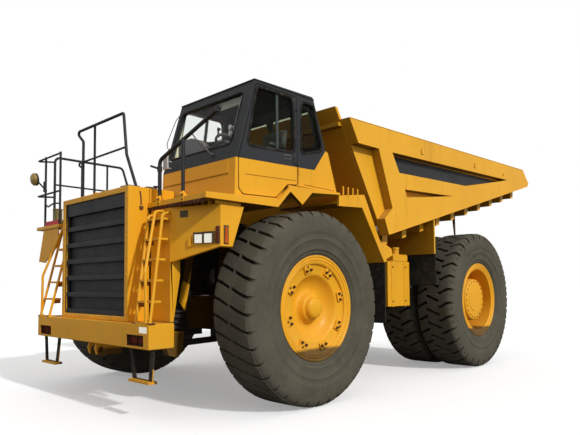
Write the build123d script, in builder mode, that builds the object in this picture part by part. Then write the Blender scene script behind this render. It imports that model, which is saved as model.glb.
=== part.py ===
from build123d import *
import os
from math import cos, hypot, pi, sin

# Rigid-frame mining dump truck of the 90 tonne class, in millimetres.
# Frame: +X is forwards, +Y is the driver's left, +Z is up, Z = 0 is the ground.
# The origin is on the ground, midway between bumper and tail, on the centre line.
# "Ahead" always means the distance ahead of the front axle, negative behind it.

# ---------------------------------------------------------------- driving sizes
FRONT_AXLE_X = 2946.5
WHEELBASE = 4950
REAR_AHEAD = -WHEELBASE

TYRE_R = 1330
TYRE_HALF_WIDTH = 372
RIM_FLANGE_R = 724
BEAD_R = 650
FRONT_TYRE_Y = 2165
REAR_TYRE_Y = (1300, 2160)

KINGPIN_Y = 1660
STEER_ARM = 500

BUMPER_FRONT = 2104
BUMPER_BACK = 1737
BUMPER_HALF = 1617
BUMPER_Z = (877, 1185)

GRILLE_FRONT = 2012
SURROUND_HALF = 966
GRILLE_HALF = 872
GRILLE_Z = (1251, 2883)
HOOD_TOP = 2964

DECK_Z = (2690, 2754)
DECK_EDGE_Y = 2228

CAB_LEFT = 2160
CAB_RIGHT = 545
CAB_WALL = 60
DOOR_GAP = 8

BED_SHEET_Y = (2190, 2230)
BED_RIB_Y = 2378
BED_SLOPE = 0.2554
BED_PIVOT = (-6250, 2550)

HOIST_Y = 760
HOIST_FOOT = (-3450, 1100)
HOIST_HEAD = (-3100, 2600)
HOIST_PIN_R = 60


# ---------------------------------------------------------------- shared shapes
def side_plane(y):
    """Plane whose local x is ahead of the front axle and local y is height."""
    return Plane(origin=(FRONT_AXLE_X, y, 0), x_dir=(1, 0, 0), z_dir=(0, -1, 0))


def slab(outline, y_range, mode=Mode.ADD, rounding=0):
    """A side outline of (ahead, height) points, as thick as the y range."""
    low, high = sorted(y_range)
    with BuildSketch(side_plane(high)) as profile:
        with BuildLine():
            Polyline(*outline, close=True)
        make_face()
        if rounding:
            fillet(profile.vertices(), rounding)
    extrude(profile.sketch, amount=high - low, mode=mode)


def bulkhead(outline, ahead_range, mode=Mode.ADD, rounding=0):
    """A front outline of (y, height) points, as thick as the ahead range."""
    low, high = sorted(ahead_range)
    plane = Plane(origin=(FRONT_AXLE_X + low, 0, 0), x_dir=(0, 1, 0), z_dir=(1, 0, 0))
    with BuildSketch(plane) as profile:
        with BuildLine():
            Polyline(*outline, close=True)
        make_face()
        if rounding:
            fillet(profile.vertices(), rounding)
    extrude(profile.sketch, amount=high - low, mode=mode)


def level(outline, z_range, mode=Mode.ADD):
    """A plan outline of (ahead, y) points, as thick as the height range."""
    low, high = sorted(z_range)
    with BuildSketch(Plane(origin=(FRONT_AXLE_X, 0, low))) as profile:
        with BuildLine():
            Polyline(*outline, close=True)
        make_face()
    extrude(profile.sketch, amount=high - low, mode=mode)


def block(ahead, y, z, mode=Mode.ADD):
    """A square block between (low, high) pairs."""
    centre = (FRONT_AXLE_X + sum(ahead) / 2, sum(y) / 2, sum(z) / 2)
    with Locations(centre):
        Box(abs(ahead[1] - ahead[0]), abs(y[1] - y[0]), abs(z[1] - z[0]), mode=mode)


def bar(start, end, radius, mode=Mode.ADD):
    """A straight round bar between two (ahead, y, z) points."""
    low = Vector(*start) + Vector(FRONT_AXLE_X, 0, 0)
    high = Vector(*end) + Vector(FRONT_AXLE_X, 0, 0)
    with BuildSketch(Plane(origin=low, z_dir=high - low)) as section:
        Circle(radius)
    extrude(section.sketch, amount=(high - low).length, mode=mode)


def tube(points, radius, bend):
    """A bent round tube through (ahead, y, z) points with rounded corners."""
    route = [(FRONT_AXLE_X + ahead, y, z) for ahead, y, z in points]
    with BuildLine() as path:
        FilletPolyline(*route, radius=bend)
    with BuildSketch(Plane(origin=path.line @ 0, z_dir=path.line % 0)) as section:
        Circle(radius)
    sweep(section.sketch, path=path.line)


def turned(profile_points, ahead, mode=Mode.ADD):
    """A ring turned about a wheel axis, from (y, radius) points."""
    centre = (FRONT_AXLE_X + ahead, 0, TYRE_R)
    plane = Plane(origin=centre, x_dir=(0, 1, 0), z_dir=(-1, 0, 0))
    with BuildSketch(plane) as profile:
        with BuildLine():
            Polyline(*profile_points, close=True)
        make_face()
    revolve(profile.sketch, axis=Axis(centre, (0, 1, 0)), mode=mode)


def mirrored(points, side):
    """The same (y, value) points on the left (1) or the right (-1)."""
    return [(side * y, value) for y, value in points]


def save(part, name):
    """Label the finished piece and write its STEP file."""
    part.label = name
    export_step(part, f"parts/{name}.step")


os.makedirs("parts", exist_ok=True)
SIDES = (("left", 1), ("right", -1))

# ---------------------------------------------------------------- main frame
RAIL_Y = (330, 560)
RAIL = [
    (1700, 1000), (1700, 1470), (-300, 1470), (-1500, 1830), (-5650, 2250), (-6020, 2690),
    (-6400, 2690), (-6460, 1980), (-4250, 1850), (-3500, 1350), (-2400, 1000),
]
CROSS_TUBES = (  # ahead, height, radius
    (1450, 1240, 120),
    (-1900, 1350, 150),
    (-3550, 1640, 170),
    (-6300, 2200, 130),
)
PIVOT_PIN_R = 70
TOW_PIN_R = 45
TOWER_LEG_Y = (560, 800)
TOWER_AHEAD = (-200, 200)
TOWER_TOP = (2480, 2620)

with BuildPart() as frame:
    for _, side in SIDES:
        slab(RAIL, (side * RAIL_Y[0], side * RAIL_Y[1]))
        block(TOWER_AHEAD, (side * TOWER_LEG_Y[0], side * TOWER_LEG_Y[1]), (1000, TOWER_TOP[1]))
        pivot_pin = [(BED_PIVOT[0], side * y, BED_PIVOT[1]) for y in (500, 720)]
        bar(*pivot_pin, PIVOT_PIN_R)
        # foot bracket of the hoist cylinder, outside the rail
        slab(
            [(-3650, 1000), (-3250, 1000), (-3250, 1150), (-3330, 1210), (-3570, 1210), (-3650, 1500)],
            (side * RAIL_Y[1], side * 600),
        )
        foot_pin = [(HOIST_FOOT[0], side * y, HOIST_FOOT[1]) for y in (560, 890)]
        bar(*foot_pin, HOIST_PIN_R)
        # bracket of the front radius link, below the rail
        block((1150, 1480), (side * 500, side * 900), (900, 1010))
        slab(
            [(1150, 1010), (1480, 1010), (1480, 900), (1400, 700), (1250, 660), (1180, 760)],
            (side * 880, side * 1000),
        )
        # bracket of the rear strut
        block((-5480, -5220), (side * 540, side * 880), (2100, 2240))
    for ahead, height, radius in CROSS_TUBES:
        bar((ahead, -RAIL_Y[0] - 20, height), (ahead, RAIL_Y[0] + 20, height), radius)
    block(TOWER_AHEAD, (-TOWER_LEG_Y[1], TOWER_LEG_Y[1]), TOWER_TOP)
    block((1620, 1737), (-560, 560), (900, 1200))
    # front and rear tow eyes
    block((1620, 1737), (-160, 160), (690, 900))
    block((1737, 1985), (-160, 160), (862, 877))
    block((-6440, -6400), (-360, 360), (1990, 2260))
    for y in (-120, 80):
        slab([(1737, 690), (1737, 870), (1985, 870), (2015, 790), (1985, 700), (1925, 670)], (y, y + 40))
        slab([(-6430, 2000), (-6430, 2240), (-6700, 2180), (-6720, 2100), (-6680, 2030)], (y, y + 40))
    for ahead, height in ((1920, 770), (-6640, 2110)):
        bar((ahead, -140, height), (ahead, 140, height), TOW_PIN_R, mode=Mode.SUBTRACT)
save(frame.part, "frame")

# ---------------------------------------------------------------- engine and coolers
with BuildPart() as engine_block:
    block((-300, 1350), (-470, 470), (1500, 2380))
save(engine_block.part, "engine_block")

FIN_PITCH = 75
with BuildPart() as oil_coolers:
    for _, side in SIDES:
        block((1040, 1440), (side * 590, side * 900), (1030, 1780))
        for row in range(10):
            fin = 1050 + row * FIN_PITCH
            block((1010, 1480), (side * 590, side * 940), (fin, fin + 25))
save(oil_coolers.part, "oil_coolers")

# ---------------------------------------------------------------- bumper
LAMP_POCKET_Y = (1108, 1504)
LAMP_POCKET_Z = (908, 1047)
with BuildPart() as front_bumper:
    block((BUMPER_BACK, BUMPER_FRONT), (-BUMPER_HALF, BUMPER_HALF), BUMPER_Z)
    for _, side in SIDES:
        block(
            (BUMPER_FRONT - 90, BUMPER_FRONT),
            (side * LAMP_POCKET_Y[0], side * LAMP_POCKET_Y[1]),
            LAMP_POCKET_Z,
            mode=Mode.SUBTRACT,
        )
save(front_bumper.part, "front_bumper")

# ---------------------------------------------------------------- grille, its surround and the hood
with BuildPart() as grille_surround:
    block((1690, GRILLE_FRONT), (-SURROUND_HALF, SURROUND_HALF), (BUMPER_Z[1], HOOD_TOP))
    block((1690, GRILLE_FRONT), (-GRILLE_HALF, GRILLE_HALF), GRILLE_Z, mode=Mode.SUBTRACT)
    block(
        (1690, 1800),
        (-SURROUND_HALF + 30, SURROUND_HALF - 30),
        (BUMPER_Z[1], HOOD_TOP - 30),
        mode=Mode.SUBTRACT,
    )
save(grille_surround.part, "grille_surround")

GRILLE_BAR_PITCH = 244
GRILLE_BARS = 6
with BuildPart() as grille:
    block((1860, 1930), (-GRILLE_HALF, GRILLE_HALF), GRILLE_Z)
    block((1930, 1990), (-GRILLE_HALF, GRILLE_HALF), (2700, GRILLE_Z[1]))
    for row in range(GRILLE_BARS):
        low = GRILLE_Z[0] + row * GRILLE_BAR_PITCH
        block((1930, 1985), (-GRILLE_HALF + 12, GRILLE_HALF - 12), (low, low + 70))
save(grille.part, "grille")

HOOD_PLAN = [
    (1690, -SURROUND_HALF), (1690, SURROUND_HALF), (1300, SURROUND_HALF), (1300, 500), (-350, 500),
    (-350, -SURROUND_HALF),
]
HOOD_INNER = [(1690, -936), (1690, 936), (1330, 936), (1330, 470), (-320, 470), (-320, -936)]
with BuildPart() as hood:
    level(HOOD_PLAN, (DECK_Z[1], HOOD_TOP))
    level(HOOD_INNER, (DECK_Z[1], HOOD_TOP - 30), mode=Mode.SUBTRACT)
save(hood.part, "hood")

# ---------------------------------------------------------------- fenders and decks
DECK_RIB_DEPTH = 40
STEP_TOWER = [
    (1690, BUMPER_Z[1]), (1690, DECK_Z[0]), (1540, DECK_Z[0]), (1540, 1774), (1625, 1256),
    (1640, BUMPER_Z[1]),
]
FENDER_INNER = (1690, 1440)
FENDER_OUTER = (1440, 2150)
FENDER_PLAN = [FENDER_INNER, FENDER_OUTER, (1050, 2150), (1050, 2105), (1405, 2105), (1640, 1440)]
POST_BACK = [(1241, 2100), (1241, 2146), (1040, DECK_Z[0]), (900, DECK_Z[0]), (900, 2100)]
with BuildPart() as front_fenders:
    for _, side in SIDES:
        slab(STEP_TOWER, (side * 1000, side * 1450))
        level([(ahead, side * y) for ahead, y in FENDER_PLAN], (1948, DECK_Z[0] - DECK_RIB_DEPTH))
        bulkhead(
            mirrored([(1450, 1940), (1450, 1948), (2150, 2131), (2200, 2144), (2200, 1940)], side),
            (1000, 1800),
            mode=Mode.SUBTRACT,
        )
        slab(POST_BACK, (side * 2090, side * 2160), mode=Mode.SUBTRACT)
save(front_fenders.part, "front_fenders")

DECK_PLAN = [(1690, 975), (1690, 2168), (512, 2168), (512, 975)]
FASCIA = [
    (1724, DECK_Z[0]), (1724, 2762), (490, 2797), (250, 3010), (-815, 3036), (-815, 3005),
    (-178, 2960), (32, 2770), (250, 2915), (279, 2922), (512, DECK_Z[0]),
]
DECK_RIBS = 9
REAR_DECK_Z = (3000, 3030)
LANDING_FRONT = 1900
LANDING_INNER_Y = -1365
LANDING_Z = (2600, 2655)
with BuildPart() as decks:
    for _, side in SIDES:
        level([(ahead, side * y) for ahead, y in DECK_PLAN], DECK_Z)
        slab(FASCIA, (side * 2168, side * DECK_EDGE_Y))
        # cross bearers that show under the deck's front edge
        for rib in range(DECK_RIBS):
            y = 1030 + rib * 135
            block((1100, 1500), (side * y, side * (y + 30)), (DECK_Z[0] - DECK_RIB_DEPTH, DECK_Z[0]))
        # raised rear floor over the wheel, which runs back to the mudguard
        block((-815, 250), (side * 975, side * 2168), REAR_DECK_Z)
    # landing that reaches ahead of the right deck, beside the ladder's top
    block((1724, LANDING_FRONT), (-DECK_EDGE_Y, LANDING_INNER_Y), LANDING_Z)
    # ramp between the two levels of the right deck, where no cab stands
    ramp = [(512, DECK_Z[0]), (512, DECK_Z[1]), (250, REAR_DECK_Z[1]), (250, REAR_DECK_Z[0])]
    slab(ramp, (-2168, -975))
    block((1690, 1724), (-2168, LANDING_INNER_Y), (LANDING_Z[0], DECK_Z[1]))
save(decks.part, "decks")

# ---------------------------------------------------------------- ladders and handrails
STILE_TOP = (1800, 2562)
STILE_FOOT = (2070, BUMPER_Z[1] + 5)
STILE_Y = ((1113, 1270), (1440, 1590))  # top and foot of the inner and the outer stile
STILE_R = 19
RUNGS = 5
RUNG_PITCH = 262
RUNG_FIRST = 1440
STRAP_TOP_Y = (1050, 1540)
STRAP_FOOT_Y = (1130, 1500)
STRAP_AHEAD = (1990, 2004)
STRAP_WIDTH = 75
LOW_RUNG_Z = (455, 485)


def stile_point(height, stile):
    """(ahead, y) of a ladder stile's centre at a height."""
    share = (STILE_TOP[1] - height) / (STILE_TOP[1] - STILE_FOOT[1])
    ahead = STILE_TOP[0] + (STILE_FOOT[0] - STILE_TOP[0]) * share
    return ahead, stile[0] + (stile[1] - stile[0]) * share


with BuildPart() as ladders:
    for _, side in SIDES:
        # low step on two straps that hang under the bumper
        for top_y, foot_y in zip(STRAP_TOP_Y, STRAP_FOOT_Y):
            strap = [
                (top_y - STRAP_WIDTH / 2, BUMPER_Z[0]), (top_y + STRAP_WIDTH / 2, BUMPER_Z[0]),
                (foot_y + STRAP_WIDTH / 2, LOW_RUNG_Z[0]), (foot_y - STRAP_WIDTH / 2, LOW_RUNG_Z[0]),
            ]
            bulkhead(mirrored(strap, side), STRAP_AHEAD)
        block((1940, 2060), (side * 1080, side * 1550), LOW_RUNG_Z)
        for top_y, foot_y in STILE_Y:
            top = (STILE_TOP[0], side * top_y, STILE_TOP[1])
            foot = (STILE_FOOT[0], side * foot_y, STILE_FOOT[1])
            tube([(1694, side * top_y, STILE_TOP[1] + 20), top, foot], STILE_R, 60)
        for rung in range(RUNGS):
            height = RUNG_FIRST + rung * RUNG_PITCH
            ahead, inner = stile_point(height, STILE_Y[0])
            outer = stile_point(height, STILE_Y[1])[1]
            block((ahead - 120, ahead + 20), (side * inner, side * outer), (height, height + 28))
        # grab tube that stands proud of the rungs and meets the bumper
        grab = [(1692, 1330, 2610), (1840, 1330, 2600), (2084, 1500, 1820), (2084, 1525, BUMPER_Z[1] + 1)]
        tube([(ahead, side * y, height) for ahead, y, height in grab], STILE_R, 70)
        block((2030, 2100), (side * 1220, side * 1610), (BUMPER_Z[1], BUMPER_Z[1] + 16))
save(ladders.part, "ladders")

RAIL_R = 21
POST_R = 18
MID_RAIL_R = 15
TALL_RAIL_AHEAD = 1760
SIDE_RAIL_Y = -2140
SIDE_RAIL_Z = 3900
MID_RAIL_Z = 3420
LOOP_AHEAD = 1870
LOOP_Y = (-2290, -1395)
LOOP_POST_Y = (-1960, -1395)
LOOP_Z = 3815
LOOP_MID_Z = 3200
with BuildPart() as handrails:
    # tall rail over the hood, its left foot slanted outwards, its top and middle bars held by a hook
    tall = [(-830, HOOD_TOP), (-830, 3914), (-1065, 4100), (389, 4100), (478, 3490), (753, HOOD_TOP + 10)]
    tube([(TALL_RAIL_AHEAD, y, height) for y, height in tall], RAIL_R, 40)
    bar((TALL_RAIL_AHEAD, -458, HOOD_TOP), (TALL_RAIL_AHEAD, -458, 4094), POST_R)
    middle_bar = [(-830, 3485), (-1045, 3590), (455, 3600)]
    tube([(TALL_RAIL_AHEAD, y, height) for y, height in middle_bar], MID_RAIL_R, 25)
    # rail along the right deck's outer edge
    side_rail = [(1640, DECK_Z[1]), (1640, SIDE_RAIL_Z), (350, SIDE_RAIL_Z), (60, REAR_DECK_Z[1] + 7)]
    tube([(ahead, SIDE_RAIL_Y, height) for ahead, height in side_rail], RAIL_R, 90)
    bar((1640, SIDE_RAIL_Y, MID_RAIL_Z), (194, SIDE_RAIL_Y, MID_RAIL_Z), MID_RAIL_R)
    for ahead in (660, 1150):
        bar((ahead, SIDE_RAIL_Y, DECK_Z[1]), (ahead, SIDE_RAIL_Y, SIDE_RAIL_Z), POST_R)
    # bars along the landing's front that come back from a point to the side rail's first post
    for height in (LOOP_Z, LOOP_MID_Z):
        loop = [(1640, SIDE_RAIL_Y), (LOOP_AHEAD, LOOP_Y[0]), (LOOP_AHEAD, LOOP_Y[1])]
        tube([(ahead, y, height) for ahead, y in loop], MID_RAIL_R, 25)
    for y in LOOP_POST_Y:
        bar((LOOP_AHEAD, y, LANDING_Z[1]), (LOOP_AHEAD, y, LOOP_Z + 20), POST_R)
save(handrails.part, "handrails")

MIRROR_R = 105
with BuildPart() as mirrors:
    # stay ahead of the windscreen that reaches out past the left side; its mirror is missing
    tube([(1650, 1140, DECK_Z[1]), (1650, 1140, 3315), (1600, 2345, 3776)], 26, 90)
    bar((1650, 1665, DECK_Z[1]), (1650, 1665, 3515), 24)
    bar((1602, 2305, 3722), (1602, 2305, 3800), 34)
    # round mirror on a short stay from the landing's outer post
    bar((LOOP_AHEAD + 26, LOOP_POST_Y[0] - 12, 3310), (1937, -2185, 3470), 14)
    bar((1930, -2190, 3482), (1965, -2190, 3477), MIRROR_R)
save(mirrors.part, "mirrors")

# ---------------------------------------------------------------- cab
SILL_FRONT = (1205, 3270)
ROOF_FRONT = (880, 4345)
ROOF_REAR = (-300, 4345)
REAR_KNEE = (-560, 3641)


def screen_ahead(height, inset=0):
    """Distance ahead of the raked windscreen plane at a height."""
    rake = (SILL_FRONT[0] - ROOF_FRONT[0]) / (ROOF_FRONT[1] - SILL_FRONT[1])
    return SILL_FRONT[0] - (height - SILL_FRONT[1]) * rake - inset


CAB_IN_Y = (CAB_RIGHT + CAB_WALL, CAB_LEFT - CAB_WALL)
DOOR = [
    (1155, 3280), (1155, 2880), (1085, 2812), (485, 2830), (262, 3036), (60, 3052), (60, 4310), (850, 4310),
]
DOOR_WINDOW = [(822, 4264), (150, 4268), (119, 3517), (985, 3475)]
RIGHT_WINDOW = [(822, 4264), (105, 4268), (85, 3517), (985, 3475)]
RIGHT_POST = [(394, 4290), (430, 4290), (541, 3460), (505, 3460)]
QUARTER_WINDOW = [(-35, 4258), (-286, 4262), (-480, 3640), (-27, 3522)]
LOWER_SIDE = [
    (1225, DECK_Z[1]), (1205, 3270), (-305, 3318), (-560, 3641), (-612, 3628), (-815, 3040), (262, 3040),
    (500, 2805), (500, DECK_Z[1]),
]
UPPER_SIDE = [SILL_FRONT, ROOF_FRONT, ROOF_REAR, REAR_KNEE, (-305, 3318)]
CAB_FLOOR = [
    (1180, DECK_Z[1]), (1180, 2800), (512, 2800), (275, 3085), (-790, 3085), (-790, 3040), (262, 3040),
    (500, DECK_Z[1]),
]
SCREEN = [(640, 3485), (1990, 3485), (1990, 4205), (640, 4205)]
REAR_WINDOWS = (
    [(640, 3730), (1170, 3730), (1170, 4225), (640, 4225)],
    [(1235, 3730), (2050, 3730), (2050, 4225), (1235, 4225)],
)
WINDOW_ROUNDING = 70
DOOR_ROUNDING = 40


def rear_ahead(height, inset=0):
    """Distance ahead of the upper rear wall, which leans forwards."""
    lean = (ROOF_REAR[0] - REAR_KNEE[0]) / (ROOF_REAR[1] - REAR_KNEE[1])
    return REAR_KNEE[0] + (height - REAR_KNEE[1]) * lean + inset


def door_cut():
    """Clearance round the door, cut from whatever stands beside it."""
    with BuildSketch(side_plane(CAB_LEFT + 40)) as outline:
        with BuildLine():
            Polyline(*DOOR, close=True)
        make_face()
        fillet(outline.vertices(), DOOR_ROUNDING)
        offset(amount=DOOR_GAP)
    extrude(outline.sketch, amount=CAB_WALL + 80, mode=Mode.SUBTRACT)


with BuildPart() as cab_lower:
    slab(LOWER_SIDE, (CAB_LEFT - CAB_WALL, CAB_LEFT))
    slab(LOWER_SIDE, (CAB_RIGHT, CAB_RIGHT + CAB_WALL))
    slab([(1225, DECK_Z[1]), (1205, 3270), (1145, 3270), (1165, DECK_Z[1])], (CAB_RIGHT, CAB_LEFT))
    slab([(-815, 3040), (-615, 3620), (-557, 3620), (-755, 3040)], (CAB_RIGHT, CAB_LEFT))
    slab(CAB_FLOOR, (CAB_RIGHT, CAB_LEFT))
    door_cut()
save(cab_lower.part, "cab_lower")

with BuildPart() as cab_upper:
    slab(UPPER_SIDE, (CAB_LEFT - CAB_WALL, CAB_LEFT))
    slab(UPPER_SIDE, (CAB_RIGHT, CAB_RIGHT + CAB_WALL))
    slab([SILL_FRONT, ROOF_FRONT, (820, 4345), (1145, 3272)], (CAB_RIGHT, CAB_LEFT))
    slab([REAR_KNEE, ROOF_REAR, (-240, 4345), (-500, 3641)], (CAB_RIGHT, CAB_LEFT))
    slab([(-305, 3318), (-560, 3641), (-500, 3641), (-245, 3318)], (CAB_RIGHT, CAB_LEFT))
    bulkhead(SCREEN, (700, 1300), mode=Mode.SUBTRACT, rounding=WINDOW_ROUNDING)
    for window in REAR_WINDOWS:
        bulkhead(window, (-700, -200), mode=Mode.SUBTRACT, rounding=WINDOW_ROUNDING)
    for window, wall in ((QUARTER_WINDOW, CAB_LEFT), (RIGHT_WINDOW, CAB_RIGHT)):
        slab(window, (wall - 100, wall + 100), mode=Mode.SUBTRACT, rounding=WINDOW_ROUNDING)
    slab(RIGHT_POST, (CAB_RIGHT + 12, CAB_RIGHT + 48))
    door_cut()
save(cab_upper.part, "cab_upper")

with BuildPart() as cab_roof:
    slab([(896, 4345), (880, 4366), (-264, 4390), (-316, 4345)], (CAB_RIGHT - 10, CAB_LEFT + 10))
save(cab_roof.part, "cab_roof")

GLASS = 10
GLASS_INSET = 20


def raked_pane(ahead_at, window):
    """A flat pane with rounded corners, set into the raked wall whose face is ahead_at(height)."""
    heights = (window[0][1], window[2][1])
    face = [(ahead_at(height, GLASS_INSET), height) for height in heights]
    back = [(ahead_at(height, GLASS_INSET + GLASS), height) for height in reversed(heights)]
    with BuildPart() as pane:
        slab(face + back, (window[0][0], window[1][0]))
        bulkhead(window, (-1000, 2000), mode=Mode.INTERSECT, rounding=WINDOW_ROUNDING)
    return pane.part


raked_panes = [raked_pane(screen_ahead, SCREEN)]
raked_panes += [raked_pane(rear_ahead, window) for window in REAR_WINDOWS]
with BuildPart() as cab_glass:
    for raked in raked_panes:
        add(raked)
    slab(QUARTER_WINDOW, (CAB_LEFT - 35, CAB_LEFT - 25), rounding=WINDOW_ROUNDING)
    slab(RIGHT_WINDOW, (CAB_RIGHT + 25, CAB_RIGHT + 35), rounding=WINDOW_ROUNDING)
    slab(RIGHT_POST, (CAB_RIGHT + 12, CAB_RIGHT + 48), mode=Mode.SUBTRACT)
save(cab_glass.part, "cab_glass")

DOOR_AXIS = (62, 2170)
HINGE_R = 13
HINGE_Z = ((3330, 3450), (4110, 4230))
with BuildPart() as cab_door:
    slab(DOOR, (CAB_LEFT - CAB_WALL, CAB_LEFT), rounding=DOOR_ROUNDING)
    slab(DOOR_WINDOW, (CAB_LEFT - 100, CAB_LEFT + 40), mode=Mode.SUBTRACT, rounding=WINDOW_ROUNDING)
    for low, high in HINGE_Z:
        bar((*DOOR_AXIS, low), (*DOOR_AXIS, high), HINGE_R)
save(cab_door.part, "cab_door")

with BuildPart() as door_glass:
    slab(DOOR_WINDOW, (CAB_LEFT - 35, CAB_LEFT - 25), rounding=WINDOW_ROUNDING)
save(door_glass.part, "door_glass")

SEAT_MIDDLE = 1540
SEAT_Y = (SEAT_MIDDLE - 250, SEAT_MIDDLE + 250)
SEAT_OUTLINE = [
    (-90, 3340), (440, 3340), (460, 3450), (10, 3470), (-70, 3980), (-170, 3970), (-110, 3400),
]
with BuildPart() as cab_seat:
    block((-60, 240), (SEAT_MIDDLE - 160, SEAT_MIDDLE + 160), (3085, 3340))
    slab(SEAT_OUTLINE, SEAT_Y)
    block((-40, 300), (SEAT_Y[0] - 60, SEAT_Y[0]), (3640, 3700))
    block((-40, 300), (SEAT_Y[1], SEAT_Y[1] + 60), (3640, 3700))
save(cab_seat.part, "cab_seat")

CONSOLE = [(1145, 2800), (1135, 3270), (1095, 3400), (1010, 3440), (900, 3360), (960, 2800)]
with BuildPart() as cab_dashboard:
    slab(CONSOLE, (CAB_IN_Y[0], CAB_IN_Y[1] - 30))
    bar((960, SEAT_MIDDLE, 3350), (805, SEAT_MIDDLE, 3600), 30)
    # steering wheel, tilted towards the seat
    hub = (FRONT_AXLE_X + 805, SEAT_MIDDLE, 3600)
    tilt_plane = Plane(origin=hub, x_dir=(0, 1, 0), z_dir=(-0.53, 0, 0.848))
    with BuildSketch(tilt_plane) as wheel_disc:
        Circle(205)
        Circle(175, mode=Mode.SUBTRACT)
        Rectangle(360, 40)
        Circle(55)
    extrude(wheel_disc.sketch, amount=30)
save(cab_dashboard.part, "cab_dashboard")

# ---------------------------------------------------------------- lamps
FENDER_LAMPS = (  # inner y, outer y, low z, high z, depth
    (1818, 1938, 2175, 2297, 34),
    (1952, 2072, 2175, 2302, 34),
    (2100, 2140, 2163, 2380, 20),
)


def fender_ahead(y):
    """Distance ahead of the slanted fender's face at a distance out."""
    run = FENDER_OUTER[1] - FENDER_INNER[1]
    return FENDER_INNER[0] + (FENDER_OUTER[0] - FENDER_INNER[0]) * (y - FENDER_INNER[1]) / run


with BuildPart() as lamps:
    for _, side in SIDES:
        # head lamps in the bumper's pockets
        for y in (1125, 1320):
            block((BUMPER_FRONT - 90, BUMPER_FRONT - 40), (side * y, side * (y + 170)), (925, 1030))
        # pale reflector above the pocket
        block((BUMPER_FRONT, BUMPER_FRONT + 4), (side * 1400, side * 1570), (1072, 1150))
        # side lamps and turn signals on the slanted fender
        for inner, outer, low, high, depth in FENDER_LAMPS:
            box_plan = [
                (fender_ahead(inner), side * inner), (fender_ahead(outer), side * outer),
                (fender_ahead(outer) + depth, side * outer), (fender_ahead(inner) + depth, side * inner),
            ]
            level(box_plan, (low, high))
        # side marker on the fender's outer face
        block((1320, 1383), (side * 2150, side * 2157), (2163, 2380))
save(lamps.part, "lamps")

# ---------------------------------------------------------------- front suspension and steering
LOWER_ARM = [(-300, 540), (300, 540), (120, 1600), (110, 1720), (-110, 1720), (-120, 1600)]
LOWER_ARM_Z = (800, 960)
UPPER_EAR_Z = (1605, 1700)
KINGPIN_R = 60
KNUCKLE_Z = (968, 1597)
STRUT_FOOT = (0, 1400, 1740)
STRUT_HEAD = (0, 790, 2540)
with BuildPart() as front_arms:
    for _, side in SIDES:
        level([(ahead, side * y) for ahead, y in LOWER_ARM], LOWER_ARM_Z)
        block((-80, 80), (side * 1340, side * 1440), (LOWER_ARM_Z[1], UPPER_EAR_Z[0]))
        block((-110, 110), (side * 1300, side * 1720), UPPER_EAR_Z)
        bar((0, side * KINGPIN_Y, LOWER_ARM_Z[1]), (0, side * KINGPIN_Y, UPPER_EAR_Z[0]), KINGPIN_R)
        block((-300, 300), (side * 500, side * 600), (LOWER_ARM_Z[0], 1000))
        # radius link from the bracket ahead to the lower arm
        bar((1155, side * 940, 850), (230, side * 940, 870), 45)
save(front_arms.part, "front_arms")

REAR_STRUT_Y = 790
REAR_STRUT_AHEAD = -5350
with BuildPart() as suspension_struts:
    for _, side in SIDES:
        foot = (STRUT_FOOT[0], side * STRUT_FOOT[1], STRUT_FOOT[2] + 20)
        head = (STRUT_HEAD[0], side * STRUT_HEAD[1], STRUT_HEAD[2])
        joint = tuple((low * 0.55 + high * 0.45) for low, high in zip(foot, head))
        bar(foot, joint, 85)
        bar(joint, head, 125)
        bar((REAR_STRUT_AHEAD, side * REAR_STRUT_Y, 1590), (REAR_STRUT_AHEAD, side * REAR_STRUT_Y, 1820), 60)
        bar((REAR_STRUT_AHEAD, side * REAR_STRUT_Y, 1820), (REAR_STRUT_AHEAD, side * REAR_STRUT_Y, 2100), 85)
    block(TOWER_AHEAD, (-TOWER_LEG_Y[1], TOWER_LEG_Y[1]), (1000, TOWER_TOP[1]), mode=Mode.SUBTRACT)
save(suspension_struts.part, "suspension_struts")

SPINDLE_R = 140
SPINDLE_END_Y = 2300
for name, side in SIDES:
    with BuildPart() as knuckle:
        bar((0, side * KINGPIN_Y, KNUCKLE_Z[0]), (0, side * KINGPIN_Y, KNUCKLE_Z[1]), 125)
        bar((0, side * KINGPIN_Y, TYRE_R), (0, side * SPINDLE_END_Y, TYRE_R), SPINDLE_R)
        bar((0, side * 1800, TYRE_R), (0, side * 1850, TYRE_R), 330)
        block((-STEER_ARM, -60), (side * (KINGPIN_Y - 50), side * (KINGPIN_Y + 50)), (985, 1050))
        bar((-STEER_ARM, side * KINGPIN_Y, 975), (-STEER_ARM, side * KINGPIN_Y, 1060), 60)
        bar(
            (0, side * KINGPIN_Y, KNUCKLE_Z[0] - 5),
            (0, side * KINGPIN_Y, KNUCKLE_Z[1] + 5),
            KINGPIN_R + 2,
            mode=Mode.SUBTRACT,
        )
    save(knuckle.part, f"knuckle_{name}")

TIE_ROD_Z = 900
with BuildPart() as tie_rod:
    bar((-STEER_ARM, -KINGPIN_Y, TIE_ROD_Z), (-STEER_ARM, KINGPIN_Y, TIE_ROD_Z), 38)
    for _, side in SIDES:
        bar((-STEER_ARM, side * KINGPIN_Y, TIE_ROD_Z - 60), (-STEER_ARM, side * KINGPIN_Y, 967), 52)
save(tie_rod.part, "tie_rod")

# ---------------------------------------------------------------- wheels
FLANGE_OUT = 308
FLANGE_IN = 290
RIM_IN_R = 612
RIM_SECTION = [  # distance out from the tyre's middle, radius
    (-FLANGE_OUT, RIM_IN_R), (-FLANGE_OUT, RIM_FLANGE_R), (-FLANGE_IN, RIM_FLANGE_R), (-FLANGE_IN, BEAD_R),
    (FLANGE_IN, BEAD_R), (FLANGE_IN, RIM_FLANGE_R), (FLANGE_OUT, RIM_FLANGE_R), (FLANGE_OUT, RIM_IN_R),
]
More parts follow.
